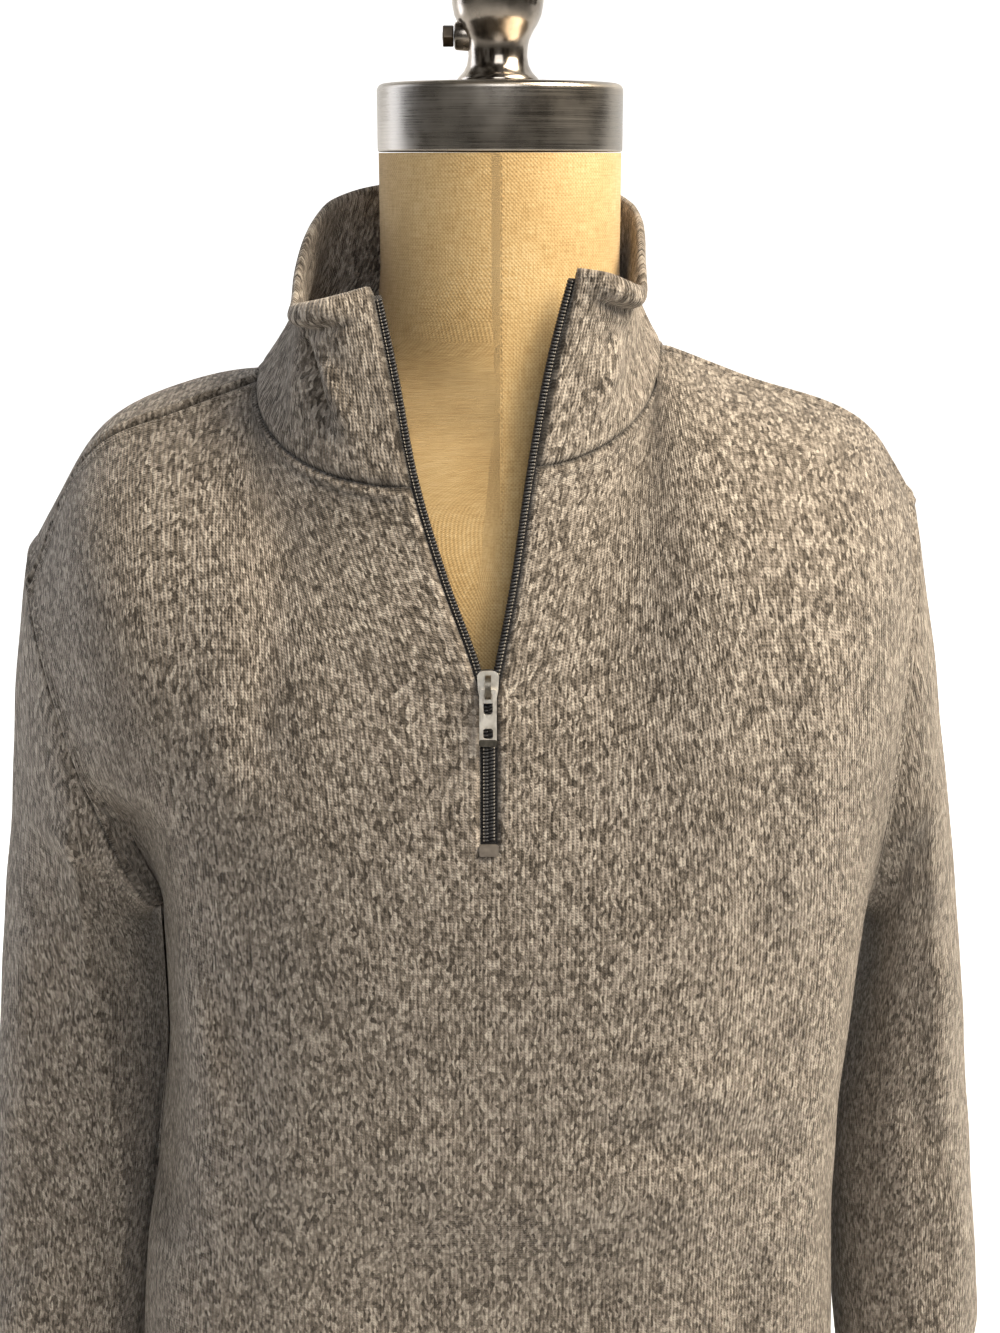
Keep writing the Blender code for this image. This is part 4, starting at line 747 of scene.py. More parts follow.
# grid of points, rows from the hem up and columns from the middle to the side seam
def halfPanel(side, back):
    info = sides[side]
    sign = info["sign"]
    shares = np.linspace(0, 1, body["columns"] + 1)
    start = 0.0 if back else zipper["slotHalf"]

    def ring(height):
        left, right, frontDepth, backDepth, squareness = smoothTable(body["rings"], np.array([height]))[0]
        across, deep = quarterRing(left if sign < 0 else right, backDepth if back else frontDepth,
                                    squareness, start, shares)
        y = deep if back else -deep
        return np.stack([body["centre"] + sign * across, y, np.full_like(across, height)], -1)

    skirt = [ring(height) for height in np.linspace(body["rings"][0, 0], body["armpit"], body["skirtRows"] + 1)]
    base = skirt[-1]
    rising = unit(base - ring(body["armpit"] - 0.01))

    onNeck = shares <= body["neckShare"] + 1e-9
    neckShares = shares[onNeck] / shares[onNeck][-1]
    seamShares = (shares[~onNeck] - shares[onNeck][-1]) / (1 - shares[onNeck][-1])
    top = np.vstack([neckline(side, neckShares, back), shoulderSeam(side, seamShares)])
    columns = np.array(body["backColumns"] if back else body["frontColumns"])
    lift = info["seamLift"] * (-1 if back else 1)
    lean, follow, fullness = smoothTable(columns, shares).T
    angle = np.radians(lean + follow * lift)
    arriving = np.stack([np.zeros_like(angle), np.cos(angle) * (-1 if back else 1), np.sin(angle)], -1)
    chord = np.linalg.norm(top - base, axis=1, keepdims=True)
    fullness = fullness[:, None]
    begin = math.radians(180 if not back else -180)
    finish = math.radians(info["armholeStart"])
    rows = []
    for step in np.linspace(0, 1, body["yokeRows"] + 1)[1:]:
        row = (base * (1 + 2 * step) * (1 - step) ** 2 + top * step ** 2 * (3 - 2 * step)
               + chord * (rising * step * (1 - step) ** 2 - fullness * arriving * step ** 2 * (1 - step)))
        edgeAngle = begin + (finish - begin) * step
        wanted = armhole(side, np.array([edgeAngle]))[0]
        row = row + (shares[:, None] ** 5) * (wanted - row[-1])
        if not back:
            lowHeight = (body["armpit"] + (neck["frontHeight"] - body["armpit"]) * step
                          + (info["neckFrontHeight"] - neck["frontHeight"]) * step ** 4)
            if lowHeight >= zipper["line"][0, 0]:
                middle = slitEdge(side, np.array([lowHeight]))[0]
            else:
                fade = (lowHeight - body["armpit"]) / (zipper["line"][0, 0] - body["armpit"])
                foot = slitEdge(side, np.array([zipper["line"][0, 0]]))[0]
                middle = base[0] + (foot - base[0]) * fade
            row = row + ((1 - shares[:, None]) ** 3) * (middle - row[0])
        rows.append(row)
    grid = np.array(skirt + rows)
    # the corner between neckline and shoulder seam melts away lower down
    steps = np.linspace(0, 1, body["yokeRows"] + 1)[1:, None, None]
    ease = 0.5 * np.clip((1 - steps) / 0.22, 0, 1) * np.clip(steps / 0.15, 0, 1)
    for _ in range(160):
        yoke = grid[len(skirt):]
        yoke[:, 1:-1] += ease * ((yoke[:, :-2] + yoke[:, 2:]) / 2 - yoke[:, 1:-1])
    # folds fade out towards the seams and towards the zip
    rows, columns = np.indices(grid.shape[:2])
    inside = np.clip((grid.shape[1] - 1 - columns) / 6, 0, 1) * np.clip((grid.shape[0] - 1 - rows) / 6, 0, 1)
    if not back:
        aboveFoot = rows - body["skirtRows"] - body["slitRow"]
        byZip = np.clip(aboveFoot / 12 + 1, 0, 1) * np.clip(1 - columns / 9, 0, 1)
        inside = inside * (1 - byZip)
    return foldCloth(grid, inside, 1 if back else -1)


# moves a panel in or out along its folds; amount fades them near the seams
def foldCloth(grid, amount, face):
    lift = np.zeros(grid.shape[:2])
    for xLow, zLow, xHigh, zHigh, height, halfWidth, onFace in folds:
        if onFace != face:
            continue
        line = np.array([xHigh - xLow, zHigh - zLow])
        spot = grid[..., [0, 2]] - np.array([xLow, zLow])
        along = np.clip((spot @ line) / (line @ line), 0, 1)
        away = np.linalg.norm(spot - along[..., None] * line, axis=-1)
        lift += height * np.exp(-(away / halfWidth) ** 2)
    moved = grid.copy()
    moved[..., 1] += face * lift * amount
    return moved


# front and back panels, each as one grid from the left side seam to the right one
def bodyGrids():
    grids = {}
    for name, back in (("frontPanel", False), ("backPanel", True)):
        left = halfPanel("left", back)
        right = halfPanel("right", back)
        if back:
            join = (left[:, :1] + right[:, :1]) / 2
            grids[name] = np.concatenate([left[:, :0:-1], join, right[:, 1:]], axis=1)
        else:
            steps = np.arange(1, body["bridge"] + 1)[None, :, None] / (body["bridge"] + 1)
            bridge = left[:, :1] * (1 - steps) + right[:, :1] * steps
            grids[name] = np.concatenate([left[:, ::-1], bridge, right], axis=1)
    return grids


# the angles of the panels' side columns, front half then back half, so the sleeve meets each point
def armholeAngles(side):
    finish = math.radians(sides[side]["armholeStart"])
    steps = np.linspace(0, 1, body["yokeRows"] + 1)
    front = math.pi + (finish - math.pi) * steps
    back = -math.pi + (finish + math.pi) * steps
    return np.concatenate([front, back[::-1][1:-1]])


# rings from the armhole to the cuff; each ring starts at the armpit and goes round by the front
def sleeveGrid(side):
    angles = armholeAngles(side)
    rows = sleeve["sections"][side]
    keyed = np.column_stack([np.linspace(0, 1, len(rows)), rows])
    sections = smoothTable(keyed, np.linspace(0, 1, sleeve["rings"]))
    grid = np.array([sleeveOval(row, angles) for row in sections])
    grid[0] = armhole(side, angles)
    return grid


# the collar's top edge, from the front corner (share 0) to the middle of the back (share 1)
def collarTop(side, shares):
    table = collar["tops"][side]
    corner = slitEdge(side, np.array([sides[side]["collarFrontHeight"]]))[0]
    return smoothTable(np.vstack([[0.0, *corner], table]), shares)


# rows from the neckline up, columns from the front edge to the middle of the back
def collarHalf(side):
    steps = np.linspace(0, 1, collar["rows"] + 1)
    front = np.linspace(0, 1, body["neckColumns"] + 1)
    base = np.vstack([neckline(side, front), neckline(side, front[::-1][1:], True)])
    shares = np.linspace(0, 1, len(base))
    top = collarTop(side, shares)
    outward = unit((base - np.array([*neck["middle"], 0.0])) * np.array([1, 1, 0]))
    hollow = collar["hollow"] * np.clip(3.5 * shares * (1.15 - shares), 0, 1)
    turnOut = collar["turn"] * np.exp(-((shares - 0.2) / 0.12) ** 2)
    rows = []
    for step in steps:
        inward = hollow * math.sin(math.pi * step) * (1 - step) ** 0.5
        inward = inward + turnOut * math.exp(-((step - 0.72) / 0.2) ** 2)
        row = base + (top - base) * step - outward * inward[:, None]
        edge = slitEdge(side, row[:1, 2])[0]
        rows.append(row + (edge - row[0]) * np.clip(1 - shares / 0.3, 0, 1)[:, None] ** 2)
    return np.array(rows)


# columns from the left front edge round the back to the right one
def collarGrid():
    left, right = collarHalf("left"), collarHalf("right")
    return np.concatenate([left, right[:, -2::-1]], axis=1)


# sums of the face normals round each point of a grid; present says which faces exist
def gridNormals(grid, present, wrap, flip):
    points = np.concatenate([grid, grid[:, :1]], axis=1) if wrap else grid
    a, b = points[:-1, :-1], points[:-1, 1:]
    c, d = points[1:, 1:], points[1:, :-1]
    face = np.cross(c - a, d - b) * (-1 if flip else 1)
    face[~present] = 0
    total = np.zeros_like(points)
    total[:-1, :-1] += face
    total[:-1, 1:] += face
    total[1:, 1:] += face
    total[1:, :-1] += face
    if wrap:
        total[:, 0] += total[:, -1]
        total = total[:, :-1]
    return total


# heights of the form's rings, closer together over the shoulders
def formHeights():
    heights = []
    for low, high in zip(form["rings"][:-1, 0], form["rings"][1:, 0]):
        step = form["steps"][0] if low < 0.65 else form["steps"][1] if low < 0.74 else form["steps"][2]
        count = max(1, round((high - low) / step))
        heights.extend(np.linspace(low, high, count, endpoint=False))
    return np.array([*heights, form["rings"][-1, 0]])


# rings of the form from its foot up, each starting at the middle of the front
def formGrid():
    turns = np.linspace(0, 2 * math.pi, form["around"], endpoint=False)
    rows = []
    for height, row in zip(formHeights(), smoothTable(form["rings"], formHeights())):
        halfWidth, front, back, squareness = row
        depth = np.where(np.cos(turns) > 0, front, back)
        x = halfWidth * np.sign(np.sin(turns)) * np.abs(np.sin(turns)) ** (2 / squareness)
        y = -depth * np.sign(np.cos(turns)) * np.abs(np.cos(turns)) ** (2 / squareness)
        rows.append(np.stack([x, y, np.full_like(x, height)], -1))
    return np.array(rows)


# a search tree of the cloth's inner face
def clothInside(pieces):
    points, faces = [], []
    for name, piece in pieces.items():
        thickness = collar["wall"] if name == "collar" else cloth["wall"]
        grid = piece["grid"] - piece["normal"] * thickness / 2
        rows, columns = grid.shape[:2]
        start = len(points)
        points.extend(Vector(point) for point in grid.reshape(-1, 3))
        wide = columns if piece["wrap"] else columns - 1
        for row in range(rows - 1):
            for column in range(wide):
                if not piece["present"][row, column]:
                    continue
                after = (column + 1) % columns
                face = [start + row * columns + column, start + row * columns + after,
                        start + (row + 1) * columns + after, start + (row + 1) * columns + column]
                faces.append(face[::-1] if piece["flip"] else face)
    return BVHTree.FromPolygons(points, faces)


# draws in the form wherever it would come nearer to the cloth than its clearance
def settleForm(grid, pieces):
    tree = clothInside(pieces)

    def excess(point):
        spot, normal, _, _ = tree.find_nearest(Vector(point))
        if point[2] > form["neckFrom"]:
            return np.zeros(3)
        clear = np.interp(abs(point[0]), form["shoulderRest"], (form["free"], form["clear"]))
        return max(0.0, (Vector(point) - spot).dot(normal) + clear) * np.array(normal)

    rows, columns = grid.shape[:2]
    for _ in range(5):
        for row in range(rows):
            for column in range(columns):
                grid[row, column] -= excess(grid[row, column])
        for row in range(rows - 1):
            for column in range(columns):
                after = (column + 1) % columns
                corners = [(row, column), (row, after), (row + 1, after), (row + 1, column)]
                push = excess(sum(grid[corner] for corner in corners) / 4)
                for corner in corners:
                    grid[corner] -= push
    return grid


# distance along a grid from one of its edges
def fromEdge(grid, axis, end):
    run = np.linalg.norm(np.diff(grid, axis=axis), axis=-1)
    start = np.zeros_like(np.take(run, [0], axis=axis))
    if end == "low":
        return np.concatenate([start, np.cumsum(run, axis=axis)], axis=axis)
    total = np.concatenate([start, np.cumsum(np.flip(run, axis), axis=axis)], axis=axis)
    return np.flip(total, axis)


def bump(distance, halfWidth):
    return np.exp(-(distance / halfWidth) ** 2)


# a sewn seam in section: the groove, the lifted allowance and the pinch of its stitches
def seamRelief(distance, allowance=1.0):
    lift = -cloth["groove"] * bump(distance, 1.1 * mm)
    lift += allowance * cloth["ridge"] * bump(distance - cloth["ridgeAt"], 2.0 * mm)
    return lift - allowance * cloth["stitchSink"] * bump(distance - cloth["stitchAt"], 0.8 * mm)


# a turned hem in section: a low step, pinched at its two rows of stitches
def hemRelief(distance):
    above = distance - cloth["hemAt"]
    lift = cloth["hemLift"] * (above < 0)
    return lift - 0.5 * mm * bump(above, 1.0 * mm) - 0.4 * mm * bump(above + cloth["hemRows"], 0.9 * mm)


# slow waves over the whole cloth, so that no stretch of it is quite smooth
def waves(points):
    lift = np.zeros(points.shape[:-1])
    for length in (0.034, 0.052, 0.081):
        for _ in range(3):
            way = unit(random.normal(size=3)) * 2 * math.pi / length
            lift += np.sin(points @ way + random.uniform(0, 6.28)) * length / 0.17
    return lift * cloth["unevenness"] / 3


# height off the cloth of creases drawn between two places of a grid
def creaseRelief(grid, name, places):
    rows, columns = grid.shape[:2]
    lift = np.zeros((rows, columns))
    for first, second, third, fourth, height, halfWidth in creases[name]:
        steps = np.linspace(0, 1, 16)
        column, row = places(first + (third - first) * steps, second + (fourth - second) * steps)
        column = np.clip(np.round(column * (columns - 1)), 0, columns - 1).astype(int)
        row = np.clip(np.round(row * (rows - 1)), 0, rows - 1).astype(int)
        path = grid[row, column]
        away = np.full((rows, columns), 1.0)
        nearest = np.zeros((rows, columns))
        for index, (here, there) in enumerate(zip(path[:-1], path[1:])):
            line = there - here
            along = np.clip(((grid - here) @ line) / max(line @ line, 1e-12), 0, 1)
            reach = np.linalg.norm(grid - here - along[..., None] * line, axis=-1)
            nearer = reach < away
            away = np.where(nearer, reach, away)
            nearest = np.where(nearer, (index + along) / (len(path) - 1), nearest)
        fade = np.sin(math.pi * np.clip(nearest, 0.03, 0.97)) ** 0.6
        lift += height * fade * bump(away, halfWidth)
    return lift


# painted shade in the grooves of the seam, hem and stitch lines: how dark each place is for the lines that cross
# it
def sewnOf(name, piece):
    grid = piece["grid"]
    low, high = fromEdge(grid, 0, "low"), fromEdge(grid, 0, "high")

    def seam(away):
        return np.maximum(bump(away, 1.3 * mm), 0.42 * bump(away - cloth["stitchAt"], 0.9 * mm))

    def hem(away):
        above = away - cloth["hemAt"]
        return 0.5 * np.maximum(bump(above, 0.9 * mm), bump(above + cloth["hemRows"], 0.9 * mm))

    if name.startswith("sleeve"):
        return np.maximum(bump(low, 1.2 * mm), hem(high))
    edge = np.minimum(fromEdge(grid, 1, "low"), fromEdge(grid, 1, "high"))
    if name == "collar":
        return np.maximum(bump(low, 1.4 * mm), 0.8 * bump(edge, 0.9 * mm))
    onArmhole = np.clip((np.arange(len(grid)) - body["skirtRows"]) / 12, 0.0, 1)[:, None]
    dark = np.maximum(seam(high), hem(low))
    return np.maximum(dark, np.maximum(seam(edge) * onArmhole, bump(edge, 1.0 * mm)))


# turns degrees round a sleeve into shares of its columns
def sleevePlaces(side):
    finish = sides[side]["armholeStart"]

    def places(degrees, share):
        frontShare = (180 - degrees) / (180 - finish)
        backShare = (180 + degrees) / (180 + finish)
        around = np.where(degrees >= finish, frontShare * 0.5, 1 - backShare * 0.5)
        return around, share

    return places


# height off the flat cloth: waves, creases, seams and hems
def reliefOf(name, piece):
    grid = piece["grid"]
    lift = waves(grid)
    if name in ("frontPanel", "backPanel"):
        top = fromEdge(grid, 0, "high")
        low = fromEdge(grid, 0, "low")
        left, right = fromEdge(grid, 1, "low"), fromEdge(grid, 1, "high")
        if name == "frontPanel":
            count = np.arange(grid.shape[1])[None, :]
            right = np.where(count > body["columns"], right, 1.0)
            left = np.where(count <= body["columns"], left, 1.0)
        lift *= np.clip(top / 0.02, 0, 1) * np.clip(np.minimum(left, right) / 0.02, 0, 1)
        onArmhole = np.clip((np.arange(grid.shape[0]) - body["skirtRows"]) / 12, 0.0, 1)[:, None]
        lift += seamRelief(top)
        lift += (seamRelief(left, 0.15) + seamRelief(right, 0.15)) * (1 - onArmhole)
        lift += (seamRelief(left) + seamRelief(right)) * onArmhole
        lift += hemRelief(low)
        if name == "frontPanel":
            middle, second = body["columns"] + 1, body["columns"] + 1 + body["bridge"]
            edge = np.zeros(grid.shape[:2])
            edge[:, :middle] = fromEdge(grid[:, :middle], 1, "high")
            edge[:, second:] = fromEdge(grid[:, second:], 1, "low")
            aboveFoot = np.arange(grid.shape[0]) - body["skirtRows"] - body["slitRow"]
            onSlit = np.clip(aboveFoot / 3 + 1, 0, 1)[:, None]
            lift *= 1 - onSlit * bump(edge, 7 * mm)
            lift += onSlit * (0.5 * mm * bump(edge - 1.6 * mm, 1.3 * mm) - 0.7 * mm * bump(edge, 0.8 * mm))
    elif name == "collar":
        low = fromEdge(grid, 0, "low")
        edge = np.minimum(fromEdge(grid, 1, "low"), fromEdge(grid, 1, "high"))
        lift *= np.clip(low / 0.02, 0, 1) * np.clip(edge / 0.02, 0, 1)
        lift += creaseRelief(grid, name, lambda share, height: (share, height))
        lift -= cloth["groove"] * bump(low, 1.2 * mm)
        lift += 0.4 * mm * bump(edge - 1.8 * mm, 1.3 * mm) - 0.6 * mm * bump(edge, 0.8 * mm)
    else:
        start, cuff = fromEdge(grid, 0, "low"), fromEdge(grid, 0, "high")
        lift *= np.clip(start / 0.02, 0, 1)
        side = "left" if name == "sleeveRight" else "right"
        lift += creaseRelief(grid, name, sleevePlaces(side)) * np.clip(start / 0.03, 0, 1)
        lift += seamRelief(start, 0.0) + hemRelief(cuff)
    return lift


# each cloth piece as its middle surface: grid, the faces that exist, whether it closes round, which way it faces
def garmentPieces():
    pieces = {}
    for name, grid in bodyGrids().items():
        present = np.ones((grid.shape[0] - 1, grid.shape[1] - 1), bool)
        if name == "frontPanel":
            slit = slice(body["columns"], body["columns"] + 1 + body["bridge"])
            present[body["skirtRows"] + body["slitRow"]:, slit] = False
        pieces[name] = {"grid": grid, "present": present, "wrap": False, "flip": name == "backPanel",
                        "seams": ("high", "sides")}
    for side in ("left", "right"):
        grid = sleeveGrid(side)
        pieces["sleeve" + wearerSide[side].capitalize()] = {
            "grid": grid, "present": np.ones((len(grid) - 1, grid.shape[1]), bool), "wrap": True,
            "flip": side == "right", "seams": ("low",)}
    grid = collarGrid()
    pieces["collar"] = {"grid": grid, "present": np.ones((grid.shape[0] - 1, grid.shape[1] - 1), bool),
                        "wrap": False, "flip": True, "seams": ("low",)}
    return pieces


# normals of all the cloth, equal where two pieces meet at a seam
def shareNormals(pieces):
    for piece in pieces.values():
        piece["normal"] = unit(gridNormals(piece["grid"], piece["present"], piece["wrap"], piece["flip"]))
    points = np.concatenate([piece["grid"].reshape(-1, 3) for piece in pieces.values()])
    normals = np.concatenate([piece["normal"].reshape(-1, 3) for piece in pieces.values()])
    _, same = np.unique(np.round(points / 2e-5).astype(int), axis=0, return_inverse=True)
    sums = np.zeros((same.max() + 1, 3))
    np.add.at(sums, same.reshape(-1), normals)
    shared = unit(sums)[same.reshape(-1)]
    start = 0
    for piece in pieces.values():
        count = piece["grid"].size // 3
        piece["normal"] = shared[start:start + count].reshape(piece["grid"].shape)
        start += count


# moves the seam edges half a gap into their own piece, square to the seam
def pullBack(piece):
    grid, normal = piece["grid"], piece["normal"]
    shift = np.zeros_like(grid)

    def edge(line, inner, normals, closed):
        along = np.roll(line, -1, 0) - np.roll(line, 1, 0) if closed else np.gradient(line, axis=0)
        inward = inner - line
        inward = inward - (inward * normals).sum(-1, keepdims=True) * normals
        square = unit(np.cross(normals, unit(along)))
        return square * np.sign((square * inward).sum(-1, keepdims=True)) * cloth["seamGap"] / 2

    if "low" in piece["seams"]:
        shift[0] += edge(grid[0], grid[1], normal[0], piece["wrap"])
    if "high" in piece["seams"]:
        shift[-1] += edge(grid[-1], grid[-2], normal[-1], False)
    if "sides" in piece["seams"]:
        shift[:, 0] += edge(grid[:, 0], grid[:, 1], normal[:, 0], False)
        shift[:, -1] += edge(grid[:, -1], grid[:, -2], normal[:, -1], False)
    return grid + shift


# a wall from a grid: its outer face, its inner face and a rounded rim, with a map of the cloth in metres
def buildShell(name, piece, thickness, material, rimPush=0.45):
    grid, normal, present = piece["shown"], piece["normal"], piece["present"]
    rows, columns = grid.shape[:2]
    count = rows * columns
    thickness = np.broadcast_to(thickness, (rows, columns))[..., None]
    outer = (grid + normal * thickness / 2).reshape(-1, 3)
    inner = (grid - normal * thickness / 2).reshape(-1, 3)
    wide = columns if piece["wrap"] else columns - 1
    row, column = np.nonzero(present[:rows - 1, :wide])
    after = (column + 1) % columns
    quads = np.stack([row * columns + column, row * columns + after,
                      (row + 1) * columns + after, (row + 1) * columns + column], 1)
    edges = np.concatenate([quads[:, [0, 1]], quads[:, [1, 2]], quads[:, [2, 3]], quads[:, [3, 0]]])
    codes = edges[:, 0].astype(np.int64) * count + edges[:, 1]
    back = edges[:, 1].astype(np.int64) * count + edges[:, 0]
    rim = edges[~np.isin(codes, back)]
    owner = np.tile(np.arange(len(quads)), 4)[~np.isin(codes, back)]
    # the middle of the rim stands a little proud, which rounds the edge
    onRim = np.unique(rim)
    push = np.zeros((count, 3))
    centres = grid.reshape(-1, 3)[quads].mean(1)[owner]
    middle = grid.reshape(-1, 3)[rim].mean(1)
    outward = unit(middle - centres)
    np.add.at(push, rim[:, 0], outward)
    np.add.at(push, rim[:, 1], outward)
    bulge = grid.reshape(-1, 3)[onRim] + unit(push[onRim]) * thickness.reshape(-1)[onRim, None] * rimPush
    rimIndex = np.zeros(count, int)
    rimIndex[onRim] = 2 * count + np.arange(len(onRim))
    a, b = rim[:, 0], rim[:, 1]
    faces = np.concatenate([quads, quads[:, ::-1] + count,
                            np.stack([b, a, rimIndex[a], rimIndex[b]], 1),
                            np.stack([rimIndex[b], rimIndex[a], a + count, b + count], 1)])
    if piece["flip"]:
        faces = faces[:, ::-1]
    points = np.concatenate([outer, inner, bulge])
    used, renumbered = np.unique(faces, return_inverse=True)
    across, along = piece["weave"]
    places = np.stack([across, along], -1).reshape(-1, 2)
    places = np.concatenate([places, places, places[onRim]])[used]
    # the painted seam shade goes onto the outer face, the inner face and the rim
    sewn = piece.get("sewn", np.zeros((rows, columns))).reshape(-1)
    sewn = np.concatenate([sewn, sewn, sewn[onRim]])[used]
    return addMesh(name, points[used], renumbered.reshape(-1, 4), material, places=places, sewn=sewn)


# places of the knit on a grid: metres across the wales, from the column, and metres along them
def weavePlaces(name, piece):
    grid = piece["grid"]
    if name in ("frontPanel", "backPanel"):
        line = grid[body["skirtRows"]]
    elif name == "collar":
        line = grid[2]
    else:
        line = grid[len(grid) // 3]
    across = runOf(line)
    along = fromEdge(grid, 0, "low")
    middle = along.mean(1)
    if name in ("frontPanel", "backPanel"):
        middle = along[:, along.shape[1] // 4]
    along = 0.7 * middle[:, None] + 0.3 * along
    return np.broadcast_to(across[None, :], along.shape), along


def buildGarment():
    pieces = garmentPieces()
    shareNormals(pieces)
    for name, piece in pieces.items():
        piece["weave"] = weavePlaces(name, piece)
        # painted shade for the seam, hem and stitch lines
        piece["sewn"] = sewnOf(name, piece)
        piece["shown"] = pullBack(piece) + piece["normal"] * reliefOf(name, piece)[..., None]
        thickness = cloth["wall"]
        if name == "collar":
            share = np.linspace(0, 1, len(piece["grid"]))[:, None]
            thickness = collar["wall"] * np.interp(share, [0, 0.06, 0.80, 0.90, 0.965, 1.0],
                                                   [0.45, 0.95, 1.0, 1.18, 1.05, 0.62])
        piece["thickness"] = np.broadcast_to(thickness, piece["grid"].shape[:2])
        title = "standCollar" if name == "collar" else name
        piece["made"] = buildShell(title, piece, thickness, materials["knit"])
        print("cloth piece", name, len(piece["made"].data.polygons), "faces")
    return pieces


# a small capsule along its first axis, flattened a little: the shape of one stitch or one bar
def capsule(length, radius, rings=2, around=5):
    points = []
    for index in range(rings * 2):
        turn = math.pi / 2 * (index % rings + 0.5) / rings
        if index < rings:
            x, r = -length / 2 - radius * math.cos(turn) * 0.6, radius * math.sin(turn)
        else:
            turn = math.pi / 2 - turn
            x, r = length / 2 + radius * math.cos(turn) * 0.6, radius * math.sin(turn)
        points += [(x, r * math.cos(2 * math.pi * k / around), r * math.sin(2 * math.pi * k / around))
                   for k in range(around)]
    return np.array(points), ringFaces(rings * 2, around)


# copies of one small shape, each with its own place and axes, joined in one mesh
def scatter(name, shape, origins, first, second, third, material):
    points, faces = shape
    moved = (origins[:, None] + points[None, :, 0:1] * first[:, None]
             + points[None, :, 1:2] * second[:, None] + points[None, :, 2:3] * third[:, None])
    allFaces = []
    for index in range(len(origins)):
        allFaces += [[corner + index * len(points) for corner in face] for face in faces]
    return addMesh(name, moved.reshape(-1, 3), allFaces, material)


# evenly spaced places on a line, with the way it runs and the cloth's normal there
def spaced(line, normals, pitch, offset=0.5):
    run = runOf(line)
    stops = np.arange(offset * pitch, run[-1], pitch)
    at = rowsAt(stops, run, line)
    up = unit(rowsAt(stops, run, normals))
    way = rowsAt(stops + pitch * 0.2, run, line) - rowsAt(stops - pitch * 0.2, run, line)
    way = unit(way - (way * up).sum(-1, keepdims=True) * up)
    return at, way, up


# a line on the outer face at a given distance from an edge of the grid
def lineOnCloth(piece, axis, end, distance):
    away = fromEdge(piece["grid"], axis, end)
    face = piece["shown"] + piece["normal"] * piece["thickness"][..., None] / 2
    if axis == 1:
        away, face, normal = away.T, face.transpose(1, 0, 2), piece["normal"].transpose(1, 0, 2)
    else:
        normal = piece["normal"]
    if end == "high":
        away, face, normal = away[::-1], face[::-1], normal[::-1]
    line, normals = [], []
    for column in range(away.shape[1]):
        line.append(rowsAt(distance, away[:, column], face[:, column]))
        normals.append(rowsAt(distance, away[:, column], normal[:, column]))
    return np.array(line), unit(np.array(normals))


stitch = {
    "pitch": 3.1 * mm,
    "length": 1.5 * mm,
    "radius": 0.30 * mm,
    "sink": 0.10 * mm,
}


# one piece of thread from all the lines of stitches on a cloth piece
def sewLines(name, lines):
    rows = [spaced(line, normals, stitch["pitch"]) for line, normals in lines]
    at, way, up = (np.concatenate(part) for part in zip(*rows))
    made = scatter(name, capsule(stitch["length"], stitch["radius"]), at - up * stitch["sink"],
                   way, unit(np.cross(up, way)), up, materials["thread"])
    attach(made, "sweater_on_form")
    return made


# rows of stitches: beside the neck, shoulder and armhole seams, and two round each hem and cuff
def buildStitches(pieces):
    skirt, columns, margin = body["skirtRows"] + 6, body["columns"], 6
    hems = (cloth["hemAt"], cloth["hemAt"] - cloth["hemRows"])
    spans = {"frontPanel": (slice(margin, columns - 1), slice(columns + 3 + body["bridge"], -margin)),
             "backPanel": (slice(None),)}
    made = {}
    for name, title in (("frontPanel", "frontStitches"), ("backPanel", "backStitches")):
        line, normals = lineOnCloth(pieces[name], 0, "high", cloth["stitchAt"])
        lines = [(line[span], normals[span]) for span in spans[name]]
        for end in ("low", "high"):
            line, normals = lineOnCloth(pieces[name], 1, end, cloth["stitchAt"])
            lines.append((line[skirt:-margin], normals[skirt:-margin]))
        lines += [lineOnCloth(pieces[name], 0, "low", distance) for distance in hems]
        made[name] = [sewLines(title, lines)]
    for name in ("sleeveLeft", "sleeveRight"):
        lines = []
        for distance in hems:
            line, normals = lineOnCloth(pieces[name], 0, "high", distance)
            lines.append((np.vstack([line, line[:1]]), np.vstack([normals, normals[:1]])))
        made[name] = [sewLines(name + "Stitches", lines)]
    return made


# places down the cloth's front edge: point, direction away from the zip, normal, from the foot to the collar's top
def edgeStations(pieces, side):
    column = body["columns"] if side == "left" else body["columns"] + 1 + body["bridge"]
    first, step = (0, 3) if side == "left" else (-1, -3)
    rows = []
    parts = (("frontPanel", column, column + 3 * sides[side]["sign"]), ("collar", first, first + step))
    for name, here, there in parts:
        piece = pieces[name]
        points, normals = piece["grid"][:, here], piece["normal"][:, here]
        away = piece["grid"][:, there] - points
        away = unit(away - (away * normals).sum(-1, keepdims=True) * normals)
        rows.append(np.concatenate([points, away, normals], axis=1))
    rows[0] = rows[0][body["skirtRows"] + body["slitRow"] - 10:]
    table = np.concatenate([rows[0][:-2], rows[1][3:-1]])
    steps = runOf(table[:, :3])
    even = np.arange(0, steps[-1], 1.2 * mm)
    table = rowsAt(even, steps, table)
    for _ in range(6):
        table[1:-1, 3:] = (table[:-2, 3:] + table[1:-1, 3:] + table[2:, 3:]) / 3
    return table[:, :3], unit(table[:, 3:6]), unit(table[:, 6:])


